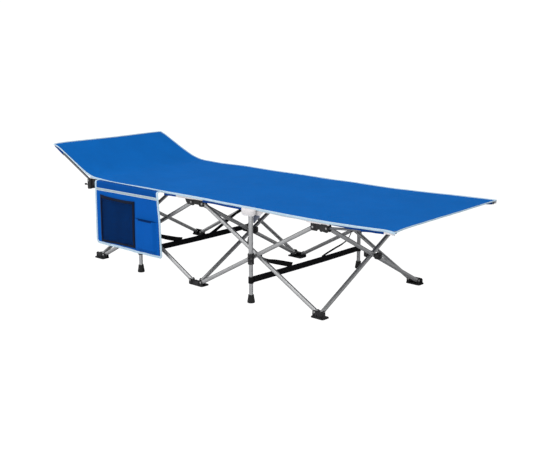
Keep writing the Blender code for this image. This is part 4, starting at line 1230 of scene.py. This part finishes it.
def organiser():
    def keep(made):
        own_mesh(made)
        return made

    # the backing cloth
    c = np.concatenate([[0, 0.004, 0.010, 0.018, 0.028, 0.040], np.linspace(0.055, 0.945, 56),
                        [0.960, 0.972, 0.982, 0.990, 0.996, 1.0]])
    bottom = down_at(ORG_BOTTOM)
    wide = org_right(bottom) - ORG_LEFT
    low = bottom - corner_rise(c * wide, 0.0190) - corner_rise((1 - c) * wide, 0.0150)
    first = np.array([0, 0.0035, 0.0070, 0.0105, 0.0140, 0.0165, 0.0190, 0.0215, 0.0240, 0.0265,
                      0.0290, 0.0315, 0.0340, 0.0370, 0.0400])
    share = np.linspace(0, 1, 46)[1:]
    s = np.concatenate([np.repeat(first[:, None], len(c), 1),
                        first[-1] + (low[None, :] - first[-1]) * share[:, None]], 0)
    x = ORG_LEFT + (org_right(s) - ORG_LEFT) * c[None, :]
    back = Shape()
    # the strip above the band takes the darker copy of the blue: painted shade
    upper = np.where((s[:-1, :-1] + s[1:, 1:]) / 2 < down_at(0.3300), 2, 0)
    back.slab(hang(x, s), 0.0011, upper, 1)
    sheet = piece("organiser_panel", back.mesh("organiser_panel"), [POUCH, CANVAS_BACK, POUCH_PAINTED_SHADE], ORG_BODY,
                  35, node="side_organiser")
    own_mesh(sheet)

    # the binding round its sides and foot, folded over the edge
    def outline(inset):
        """The panel's outline in (x, s), some way in from its edge."""
        points = []
        for q in np.linspace(0.0010, bottom - 0.0190, 46):
            points.append((ORG_LEFT + inset, q))
        for a in np.linspace(180, 270, 9)[1:]:
            r = 0.0190 - inset
            points.append((ORG_LEFT + 0.0190 + r * math.cos(math.radians(a)),
                           bottom - 0.0190 - r * math.sin(math.radians(a))))
        end = float(org_right(bottom))
        for q in np.linspace(ORG_LEFT + 0.0190, end - 0.0150, 44)[1:]:
            points.append((q, bottom - inset))
        for a in np.linspace(270, 360, 9)[1:]:
            r = 0.0150 - inset
            points.append((end - 0.0150 + r * math.cos(math.radians(a)),
                           bottom - 0.0150 - r * math.sin(math.radians(a))))
        for q in np.linspace(bottom - 0.0150, 0.0010, 46)[1:]:
            points.append((float(org_right(q)) - inset, q))
        return np.array(points)

    binding = Shape()
    rows = [(0.0096, 0.0007), (0.0094, 0.0014), (0.0060, 0.0016), (0.0020, 0.0017), (-0.0004, 0.0014),
            (-0.0014, 0.0), (-0.0004, -0.0014), (0.0020, -0.0017), (0.0060, -0.0016),
            (0.0094, -0.0014), (0.0096, -0.0007), (0.0004, -0.0007), (0.0004, 0.0007)]
    section = []
    for inset, out in rows:
        line = outline(min(inset, 0.0145))
        section.append(hang(line[:, 0], line[:, 1], out))
    binding.rings([[section[j][i] for j in range(len(rows))] for i in range(len(section[0]))], 0)
    keep(piece("organiser_binding", binding.mesh("organiser_binding"), [BINDING], ORG_BODY,
               40))

    # tapes: the cream band, the black frame of the net, the hem of the pouch
    tapes = Shape()

    def tape(start, end, width, kind, lift=0.0009, steps=40, thick=0.0011, side=0.0):
        """A flat tape on the cloth between two (x, z) points."""
        (x0, z0), (x1, z1) = start, end
        length = math.hypot(x1 - x0, z1 - z0)
        nx, nz = -(z1 - z0) / length, (x1 - x0) / length
        t = np.linspace(0, 1, steps)[:, None]
        w = np.array([-0.5, -0.25, 0, 0.25, 0.5])[None, :] * width
        px = x0 + (x1 - x0) * t + nx * w
        pz = z0 + (z1 - z0) * t + nz * w
        extra = lift(px, pz) if callable(lift) else lift
        tapes.slab(hang(px, down_at(pz), extra), thick, kind)

    tape((ORG_LEFT + 0.0075, 0.3272), (-0.2080, 0.3322), 0.0110, 0)
    tape((ORG_LEFT + 0.0080, 0.3226), (-0.2080, 0.3276), 0.0012, 3, 0.00175, 40, 0.0006)
    tape((ORG_LEFT + 0.0080, 0.3318), (-0.2080, 0.3368), 0.0012, 3, 0.00175, 40, 0.0006)

    corners = np.array([(-0.5738, 0.3068), (-0.3475, 0.3045), (-0.3462, 0.1048), (-0.5745, 0.0995)])

    def bulge(p, q):
        """How far the net stands off the cloth, across and down the pocket."""
        across = np.clip(4 * p * (1 - p), 0, 1) ** 0.45
        return 0.0016 + 0.0095 * across * np.clip(q / 0.03, 0.62, 1) * (
            np.clip((1 - q) / 0.16, 0, 1) ** 0.6) * (0.9 + 0.1 * np.sin(9 * p + 2 * q))

    def pocket(p, q, lift=0.0):
        """A point of the net pocket: p across it and q down it."""
        p, q = np.asarray(p, float), np.asarray(q, float)
        a, b, c_, d = corners
        droop = 0.0040 * np.clip(4 * p * (1 - p), 0, 1) * np.clip(1 - q / 0.2, 0, 1)
        px = (a[0] * (1 - p) + b[0] * p) * (1 - q) + (d[0] * (1 - p) + c_[0] * p) * q
        pz = (a[1] * (1 - p) + b[1] * p) * (1 - q) + (d[1] * (1 - p) + c_[1] * p) * q - droop
        return hang(px, down_at(pz), bulge(p, q) + lift)

    edge = 0.045  # share of the pocket's width that its side tapes take
    flat_q = np.linspace(0, 1, 44)[:, None]
    for p0, p1 in ((0.0, edge), (1 - edge, 1.0)):
        tapes.slab(pocket(np.linspace(p0, p1, 6)[None, :] + 0 * flat_q, flat_q + 0 * p0, 0.0008),
                   0.0010, 1)
    flat_p = np.linspace(0, 1, 50)[None, :]
    for q0, q1, lift in ((0.0, 0.060, 0.0014), (0.950, 1.0, 0.0010)):
        q = np.linspace(q0, q1, 6)[:, None]
        tapes.slab(pocket(flat_p + 0 * q, q + 0 * flat_p, lift), 0.0010, 1)

    # the pouch: its front stands off like a box, open along the top
    def pouch_out(px, pz):
        left = smooth_step(px, -0.3440, -0.3180)
        right = 1 - smooth_step(px, -0.2290, -0.2075)
        foot = smooth_step(pz, 0.0965, 0.1160)
        return 0.0016 + 0.0118 * left**0.8 * right * foot * (
            1 + 0.10 * np.sin(40 * px + 1.0) * np.sin(23 * pz))

    px = np.concatenate([np.linspace(-0.3445, -0.3180, 9), np.linspace(-0.3130, -0.2330, 18),
                         np.linspace(-0.2300, -0.1985, 12)])
    pz = np.concatenate([[0.2356, 0.2350, 0.2335, 0.2312], np.linspace(0.2270, 0.1250, 20),
                         np.linspace(0.1210, 0.0966, 9)])
    gx, gz = np.meshgrid(px, pz)
    gz = gz - 0.0012 * np.sin(np.pi * np.clip((gx + 0.3180) / 0.0850, 0, 1)) * (gz > 0.23)
    kinds = np.zeros((len(pz) - 1, len(px) - 1), int)
    # the top rows of the front across the opening are dark navy: painted shade of the slit
    kinds[:3, 9:27] = 1
    pouch = Shape()
    # the front's inner face and its rim are dark navy: painted shade inside the pouch
    pouch.slab(hang(gx, down_at(gz), pouch_out(gx, gz)), 0.0011, kinds, 1, 1)
    # a dark navy sheet across the opening: painted shade inside the pouch
    shade_sheet_x = np.linspace(-0.3300, -0.2180, 22)[None, :]
    rows_z = np.array([0.2358, 0.2320, 0.2270, 0.2200])[:, None]
    pouch.slab(hang(shade_sheet_x + 0 * rows_z, down_at(rows_z + 0 * shade_sheet_x), 0.0010), 0.0006, 1)
    pouch_cloth = keep(piece("organiser_pouch", pouch.mesh("organiser_pouch"), [POUCH, NAVY_PAINTED_SHADE],
                             ORG_BODY, 40))

    # stitches: beside the binding, along the band and round the pockets
    thread = Shape()

    def sew(points, kind=0, step=0.0044, lift=0.0016, out=None):
        """Lock stitches along a run of (x, z) points."""
        points = np.array(points)
        lengths = np.concatenate([[0], np.cumsum(np.linalg.norm(np.diff(points, axis=0), axis=1))])
        for i in range(int(lengths[-1] / step)):
            d = (np.array([-0.0014, 0, 0.0014]) + (i + 0.5) * step)
            xs, zs = np.interp(d, lengths, points[:, 0]), np.interp(d, lengths, points[:, 1])
            more = out(xs, zs) if out else 0.0
            line = hang(xs, down_at(zs), lift + more + np.array([-0.0001, 0.0002, -0.0001]))
            way = Vector(line[2] - line[0]).normalized()
            stitch(thread, [Vector(p) for p in line], way.cross(Vector((0, 1, 0))), Vector((0, -1, 0)), kind)

    side = [(ORG_LEFT + 0.0080, 0.3400), (ORG_LEFT + 0.0080, 0.1150)]
    side += [(ORG_LEFT + 0.0190 - 0.0110 * math.cos(math.radians(a)),
              ORG_BOTTOM + 0.0190 - 0.0110 * math.sin(math.radians(a))) for a in range(10, 90, 10)]
    side += [(q, ORG_BOTTOM + 0.0080) for q in np.linspace(-0.580, -0.2050, 12)]
    side += [(float(org_right(down_at(z))) - 0.0080, z) for z in np.linspace(0.1050, 0.3400, 12)]
    sew(side, 1, lift=0.0019)
    sew([(-0.3530, 0.2340), (-0.3530, 0.0960)], 0, lift=0.0009)
    # the dark thread along the pouch's top also paints the shade of its opening
    sew([(-0.3180, 0.2312), (-0.2330, 0.2312)], 0, lift=0.0008, out=pouch_out)
    sew([(-0.2040, 0.2350), (-0.2040, 0.1000)], 0, lift=0.0016)
    keep(piece("organiser_stitches", thread.mesh("organiser_stitches"), [THREAD_NAVY_AND_PAINTED_SHADE, THREAD_PALE],
               ORG_BODY, 40))
    tape_piece = keep(piece("organiser_tapes", tapes.mesh("organiser_tapes"),
                            [BAND, NET_TAPE, NAVY_PAINTED_SHADE, THREAD_PALE], ORG_BODY, 40))

    # the net: two families of flat cords, one slanting each way
    net = Shape()
    width, height = 0.2275, 0.2035
    pitch, slant = 0.0034, math.radians(58)
    for way in (-1, 1):
        dx, dz = math.cos(slant), way * math.sin(slant)
        nx, nz = -dz, dx
        span = (width * abs(nx) + height * abs(nz)) / 2
        for k in range(-int(span / pitch), int(span / pitch) + 1):
            cx, cz = width / 2 + nx * k * pitch, height / 2 + nz * k * pitch
            low_t, high_t = -1.0, 1.0
            for c0, d0, size in ((cx, dx, width), (cz, dz, height)):
                a0, a1 = sorted(((0.004 - c0) / d0, (size - 0.004 - c0) / d0))
                low_t, high_t = max(low_t, a0), min(high_t, a1)
            if high_t - low_t < 0.006:
                continue
            t = np.linspace(low_t, high_t, max(3, int((high_t - low_t) / 0.008) + 1))
            p, q = (cx + dx * t) / width, (cz + dz * t) / height
            lift = 0.00020 * way * np.cos(np.pi * np.arange(len(t)))
            path = pocket(p, q, lift)
            ahead = np.gradient(path, axis=0)
            wide = np.cross(ahead, (0, 1, 0))
            wide /= np.linalg.norm(wide, axis=1, keepdims=True)
            rings = [[a + w * 0.00058, a + (0, -0.00022, 0), a - w * 0.00058, a + (0, 0.00022, 0)]
                     for a, w in zip(path, wide)]
            net.rings(rings, 0)
    net_piece = keep(piece("organiser_net", net.mesh("organiser_net"), [NET], ORG_BODY, 60))


organiser()


# ------------------------------------------------------- straps under the bed
# the slanting runs of the two straps: distance from the middle and height
BRANCH = {
    (X1, NEAR): [(0.0960, 0.0972), (0.1070, 0.0995), (0.1214, 0.1030), (0.1672, 0.1165),
                 (0.2068, 0.1300), (0.2450, 0.1460), (0.2790, 0.1670)],
    (X1, FAR): [(0.0740, 0.0905), (0.0850, 0.0945), (0.1031, 0.1018), (0.1479, 0.1212),
                (0.1997, 0.1430), (0.2438, 0.1625), (0.2790, 0.1755)],
    (X3, NEAR): [(0.0960, 0.1000), (0.1030, 0.1022), (0.1104, 0.1045), (0.1540, 0.1185),
                 (0.1979, 0.1325), (0.2400, 0.1460), (0.2790, 0.1640)],
    (X3, FAR): [(0.0880, 0.0968), (0.0970, 0.0990), (0.1059, 0.1016), (0.1708, 0.1165),
                (0.2317, 0.1300), (0.2600, 0.1420), (0.2790, 0.1640)],
}


def tie_strap(name, x):
    made = Shape()
    low, high = 0.0755, 0.1005
    middle = (low + high) / 2
    v = np.linspace(-0.3222, 0.3222, 60)
    share = (v + 0.3222) / 0.6444
    lean = np.radians(3 - 9 * smooth_step(share, 0.15, 0.75) * (1 - smooth_step(share, 0.93, 1.0)))
    path = np.stack([np.full(60, x) + 0.0006 * np.sin(9 * v), CENTRE_Y + v,
                     middle - 0.0022 * np.sin(np.pi * share)], -1)
    across = np.stack([np.sin(lean), 0 * v, np.cos(lean)], -1)
    made.ribbon(path, across, 0.0258 - 0.0022 * share, 0.0016)
    made.ribbon(path + across * 0.0085 + (0.0011, 0, 0), across, 0.0012, 0.0006, 1)
    made.ribbon(path - across * 0.0085 + (0.0011, 0, 0), across, 0.0012, 0.0006, 1)
    for side in (NEAR, FAR):
        place = Matrix.Translation(at(x, side * POLE_V, 0))
        made.lathe([(0.0081, low), (0.0086, low - 0.0002), (0.0100, low), (0.0104, low + 0.0010),
                    (0.0103, middle), (0.0104, high - 0.0010), (0.0100, high),
                    (0.0086, high + 0.0002), (0.0081, high)], place, 36, 0, loop=True)
        # the loop's sewn tail, doubled back on the run
        tail = np.linspace(0.3165, 0.2780, 12)
        where = np.stack([np.full(12, x + 0.0021), CENTRE_Y + side * tail, np.full(12, middle)], -1)
        tilt = np.interp(side * tail, v, lean)
        made.ribbon(where, np.stack([np.sin(tilt), 0 * tail, np.cos(tilt)], -1), 0.0240, 0.0014)
        for edge in (0.3120, 0.2830):
            for k in range(5):
                z = middle - 0.0088 + 0.0044 * k
                line = [at(x + 0.0030, side * edge, z + d) for d in (-0.0014, 0, 0.0014)]
                stitch(made, line, Vector((0, 1, 0)), Vector((1, 0, 0)), 1)
        # the slanting run up to the pin at the crossing, curved by its own weight
        t = np.linspace(0, 1, 26)
        start = BRANCH[x, side][0][0]
        vs = start + (0.2790 - start) * t
        zs = smooth_curve(vs, np.array(BRANCH[x, side]))
        turn = np.radians(6 + (44 if side == NEAR else 12) * smooth_step(t, 0.35, 1.0))
        where = np.stack([x - 0.0019 + 0.0012 * t, CENTRE_Y + side * vs, zs], -1)
        slope = np.arctan2(np.gradient(zs), np.gradient(vs) * side)
        lie = np.stack([np.sin(turn), -np.cos(turn) * np.sin(slope), np.cos(turn) * np.abs(np.cos(slope))], -1)
        broad = {(X1, FAR): 0.0175, (X3, FAR): 0.0095}.get((x, side), 0.0205)
        made.ribbon(where, lie, broad - 0.0015 * t, 0.0015)
        # its eye round the pin
        eye = Matrix.Translation(at(x, side * 0.2792, PIVOT_MID)) @ Matrix.Rotation(math.pi / 2, 4, "X")
        made.lathe([(0.0030, -0.0016), (0.0078, -0.0016), (0.0084, -0.0008), (0.0084, 0.0008),
                    (0.0078, 0.0016), (0.0030, 0.0016)], eye, 24, 0, loop=True)
    strap = piece("webbing_" + name, made.mesh(name), [WEBBING, NET_TAPE], BODY[name],
                  40, node=name)
    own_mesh(strap)


tie_strap("tie_strap_head_bay", X1)
tie_strap("tie_strap_foot_bay", X3)


# ------------------------------------------- patches, pole pockets and sleeves
def hub_pad(name, station, sx, side, plate_u):
    """The doubled cloth between a top hub's plate and the deck."""
    made = Shape()
    u0, u1 = plate_u[0] - 0.0020, plate_u[1] + 0.0020
    made.solid(prism(rounded_rectangle((u0, u1), (0.2830, 0.3222), [0.006] * 4), "Z",
                     TOP_OVER + 0.0001, 0.3632, 0.0011))
    for v0 in (0.2870, 0.3185):
        count = int((u1 - u0 - 0.010) / 0.0044)
        for i in range(count):
            u = u0 + 0.0060 + 0.0044 * i
            line = [Vector((u + d, v0, 0.3634)) for d in (-0.0014, 0, 0.0014)]
            stitch(made, line, Vector((0, 1, 0)), Vector((0, 0, 1)), 1)
    mesh = made.mesh("pad_" + name)
    mesh.transform(Matrix(((sx, 0, 0, station), (0, side, 0, CENTRE_Y), (0, 0, 1, 0), (0, 0, 0, 1))))
    piece("pad_" + name, mesh, [PATCH, THREAD_PALE], BODY[name], 40)


for side_name, side in (("near", NEAR), ("far", FAR)):
    hub_pad(f"top_hub_middle_{side_name}", X2, side, side, TOP_MID_PLATE)
    hub_pad(f"top_hub_foot_end_{side_name}", X4, 1, side, TOP_PLATE)
    hub_pad(f"top_hub_head_end_{side_name}", X0, -1, side, TOP_PLATE)


def pole_pocket(label, x, side):
    """A pocket of pale cloth sewn under the deck's edge, pulled over the pole's
    top, with the gusset beside it: pale at its top, and dark grey below as painted shade."""
    made = Shape()
    rows = np.array([(0.3262, 0.3600), (0.3285, 0.3600), (0.3320, 0.3602), (0.3360, 0.3600),
                     (0.3395, 0.3588), (0.3418, 0.3562), (0.3430, 0.3525), (0.3433, 0.3480),
                     (0.3433, 0.3440), (0.3432, 0.3400), (0.3431, 0.3375), (0.3430, 0.3355)])
    aside = -0.0135  # the cloth is pulled towards the head
    us = np.array([-0.0355, -0.0350, -0.0335, -0.0310, -0.0270, -0.0220, -0.0170, -0.0130, -0.0090,
                   -0.0045, 0, 0.0045, 0.0090, 0.0130, 0.0170, 0.0220, 0.0270, 0.0310, 0.0335,
                   0.0350, 0.0355])
    full = np.clip((0.0355 - np.abs(us)) / 0.0235, 0, 1)
    full = (1 - (1 - full) ** 2) ** 0.75
    rise = np.array([float(corner_rise(0.0355 - abs(u), 0.0100)) for u in us])
    points = np.zeros((len(rows), len(us), 3))
    for i, (v, z) in enumerate(rows):
        low = np.clip((0.3600 - z) / 0.0245, 0, 1)
        out = 0.3286 + (v - 0.3286) * full if v > 0.3286 else np.full(len(us), v)
        # a few small pleats where the cloth is gathered
        out = out + 0.0005 * np.sin(us * 420 + 1.2 * side) * low * full
        points[i, :, 0] = x + aside + us * (1 - 0.03 * low)
        points[i, :, 1] = CENTRE_Y + side * out
        points[i, :, 2] = z + rise * low + 0.0006 * low * np.sin(us * 160)
    made.slab(points, 0.0012, 0)
    for row in (10,):
        for j in range(2, len(us) - 3):
            a, b = Vector(points[row, j]), Vector(points[row, j + 1])
            out = Vector((0, side * 0.0008, 0.0012))
            stitch(made, [a.lerp(b, 0.15) + out, a.lerp(b, 0.5) + out, a.lerp(b, 0.85) + out],
                   Vector((0, 0, 1)), Vector((0, side, 0)), 1)
    patch = piece("pole_pocket_" + label, made.mesh("pocket"), [PATCH, THREAD_PALE],
                  BODY["pole_" + label], 50)
    gusset = Shape()
    t = np.linspace(0, 1, 9)
    grid = np.zeros((9, 7, 3))
    for i, q in enumerate(t):  # from the top edge down to the tip
        a = np.array((0.0040, 0.3570)) * (1 - q) + np.array((0.0020, 0.3060)) * q
        b = np.array((0.0560, 0.3580)) * (1 - q) + np.array((0.0080, 0.3060)) * q
        for j, r in enumerate(np.linspace(0, 1, 7)):
            p = a + (b - a) * r
            grid[i, j] = (x + p[0], CENTRE_Y + side * (0.3200 + 0.0010 * math.sin(5 * r + 3 * q)), p[1])
    # the lower rows are dark grey, painted shade behind the pole; the top rows keep the pocket's pale cloth
    gusset.slab(grid, 0.0012, np.repeat(np.array([[1]] * 3 + [[0]] * 5), 6, 1))
    piece("gusset_" + label, gusset.mesh("gusset"), [GUSSET_PAINTED_SHADE, PATCH], BODY["pole_" + label],
          50)


for label, x, side in (("head_bay_far", X1, FAR), ("foot_bay_near", X3, NEAR), ("foot_bay_far", X3, FAR)):
    pole_pocket(label, x, side)


def rod_sleeve(name, pin_x, side, height, tip, start, stop):
    """The channel of cloth under the deck's edge that an end rod slides into,
    and the cap sewn over the rod's end."""
    made = Shape()
    slope = (tip[1] - height) / (tip[0] - pin_x)
    xs = np.linspace(start, stop, 22)
    rings = []
    lean = math.atan(abs(slope))
    for x in xs:
        z = height + slope * (x - pin_x)
        tight = 0.0058 + 0.0003 * math.sin(90 * x) - 0.0006 * smooth_step(abs(x), 0.90, 0.94)
        # the far edge's cloth is drawn in along the bed, so its height is read where it lies
        drawn = 0.0 if side == NEAR else float(deck(np.array([x]), np.array([side * ROD_V]))[0, 0]) - x
        top = float(deck(np.array([x - drawn]), np.array([side * ROD_V]))[0, 2]) - 0.0009
        top -= 0.0 if side == NEAR else 0.0006
        gap = top - z
        ring = []
        for a in np.linspace(130, 410, 15):
            ring.append((ROD_V + tight * math.cos(math.radians(a)),
                         min(z + tight / math.cos(lean) * math.sin(math.radians(a)), top)))
        ring.append((ROD_V + 0.0030, z + gap * 0.75))
        ring += [(ROD_V + 0.0046, z + gap), (ROD_V - 0.0046, z + gap), (ROD_V - 0.0030, z + gap * 0.75)]
        rings.append([at(x, side * v, w) for v, w in ring])
    made.rings(rings, 0)
    # the sleeve's dark navy is painted shade under the deck's edge
    piece("sleeve_" + name, made.mesh("sleeve"), [HEM_NAVY_PAINTED_SHADE], BODY[name], 50)


for side_name, side in (("near", NEAR), ("far", FAR)):
    rod_sleeve(f"foot_rod_{side_name}", X4 + ROD_U, side, FOOT_ROD_Z, FOOT_ROD_TIP[side], 0.800,
               0.9405 if side == NEAR else 0.9345)
    rod_sleeve(f"head_rod_{side_name}", X0 - HEAD_ROD_U, side, HEAD_ROD_Z, HEAD_ROD_TIP[side], -0.880,
               -0.9405)


# -------------------------------------------------------------- stage, camera
def stage():
    def see(obj, **rays):
        """Which rays meet an object of the stage."""
        for kind in ("camera", "diffuse", "glossy", "transmission", "shadow", "volume_scatter"):
            setattr(obj, "visible_" + kind, rays.get(kind, False))

    def sheet(name, material, height, size, hole=0.0):
        mesh = bpy.data.meshes.new(name)
        mesh.from_pydata([(-size, -size, height), (size, -size, height), (size, size, height),
                          (-size, size, height)], [], [[0, 1, 2, 3]])
        mesh.materials.append(material)
        made = bpy.data.objects.new(name, mesh)
        bpy.context.scene.collection.objects.link(made)
        return made

    # what the object stands on and throws light back from
    grey = Finish("floor_grey", (0.58, 0.58, 0.59), 0.8, Specular_IOR_Level=0.15)
    soft = grey.noise(grey.place(), 0.7, 2.0)
    grey.roughness(grey.span(soft, 0.3, 0.7, 0.76, 0.84))
    see(sheet("floor", grey.material, 0.0, 40.0), diffuse=True, glossy=True, shadow=True)
    # what the camera sees of it: a lit white table with hardly a shadow
    white = Finish("floor_white", (0.30, 0.30, 0.30), 0.9, Specular_IOR_Level=0.0)
    white.shader.inputs["Emission Color"].default_value = (1, 1, 1, 1)
    white.shader.inputs["Emission Strength"].default_value = 0.99
    see(sheet("floor_seen", white.material, -0.0004, 40.0), camera=True)

    dome = bpy.data.meshes.new("backdrop")
    rings, sides, radius = 8, 32, 60.0
    points = [(radius * math.cos(math.pi * i / (2 * rings)) * math.cos(2 * math.pi * j / sides),
               radius * math.cos(math.pi * i / (2 * rings)) * math.sin(2 * math.pi * j / sides),
               radius * math.sin(math.pi * i / (2 * rings)) - 2.0)
              for i in range(rings) for j in range(sides)] + [(0, 0, radius - 2.0)]
    faces = [[i * sides + j, i * sides + (j + 1) % sides, (i + 1) * sides + (j + 1) % sides,
              (i + 1) * sides + j] for i in range(rings - 1) for j in range(sides)]
    faces += [[(rings - 1) * sides + j, (rings - 1) * sides + (j + 1) % sides, rings * sides]
              for j in range(sides)]
    dome.from_pydata(points, [], faces)
    paper = Finish("backdrop_white", (0, 0, 0), 1.0, Specular_IOR_Level=0.0)
    paper.shader.inputs["Emission Color"].default_value = (1, 1, 1, 1)
    paper.shader.inputs["Emission Strength"].default_value = 1.05
    dome.materials.append(paper.material)
    sky = bpy.data.objects.new("backdrop", dome)
    bpy.context.scene.collection.objects.link(sky)
    see(sky, camera=True)

    # the room that the metal reflects: bright to the front left, dim to the right
    world = bpy.data.worlds.new("studio")
    bpy.context.scene.world = world
    world.use_nodes = True
    tree = world.node_tree
    ground = tree.nodes["Background"]
    where = tree.nodes.new("ShaderNodeTexCoord")
    dot = tree.nodes.new("ShaderNodeVectorMath")
    dot.operation = "DOT_PRODUCT"
    tree.links.new(where.outputs["Generated"], dot.inputs[0])
    dot.inputs[1].default_value = (-0.35, -0.90, 0.25)
    ramp = tree.nodes.new("ShaderNodeMapRange")
    ramp.interpolation_type = "SMOOTHSTEP"
    tree.links.new(dot.outputs["Value"], ramp.inputs[0])
    for socket, value in zip(ramp.inputs[1:5], (-0.6, 0.9, 0.32, 0.84)):
        socket.default_value = value
    ground.inputs[0].default_value = (1.0, 1.0, 1.0, 1)
    tree.links.new(ramp.outputs[0], ground.inputs[1])

    def softbox(name, place, target, width, height, power, colour=(1, 1, 1), mirrored=True):
        data = bpy.data.lights.new(name, "AREA")
        data.shape = "RECTANGLE"
        data.size, data.size_y = width, height
        data.energy = power
        data.color = colour
        light = bpy.data.objects.new(name, data)
        bpy.context.scene.collection.objects.link(light)
        light.location = place
        light.visible_glossy = mirrored
        way = Vector(target) - Vector(place)
        light.rotation_mode = "QUATERNION"
        light.rotation_quaternion = way.to_track_quat("-Z", "Y")

    softbox("overhead", (-0.3, -0.5, 2.9), (0, 0, 0.2), 2.6, 2.0, 28)
    softbox("key_left", (-1.2, -3.4, 1.5), (0, 0, 0.15), 2.2, 2.2, 54, mirrored=False)
    softbox("fill_front", (2.4, -4.2, 1.2), (0.2, 0, 0.15), 0.9, 1.6, 16)
    softbox("fill_right", (3.6, -1.6, 0.9), (0.5, 0, 0.12), 1.6, 1.4, 27)

    camera_data = bpy.data.cameras.new("camera")
    camera_data.sensor_width = 36
    camera_data.lens = 62.65
    camera_data.clip_start, camera_data.clip_end = 0.05, 200
    camera = bpy.data.objects.new("camera", camera_data)
    bpy.context.scene.collection.objects.link(camera)
    camera.location = (2.6973, -2.8252, 1.0895)
    camera.rotation_euler = (math.radians(90 - 12.83), 0, math.radians(42.297))
    bpy.context.scene.camera = camera
    bpy.context.scene.view_settings.view_transform = "Standard"


stage()

bpy.context.view_layer.update()
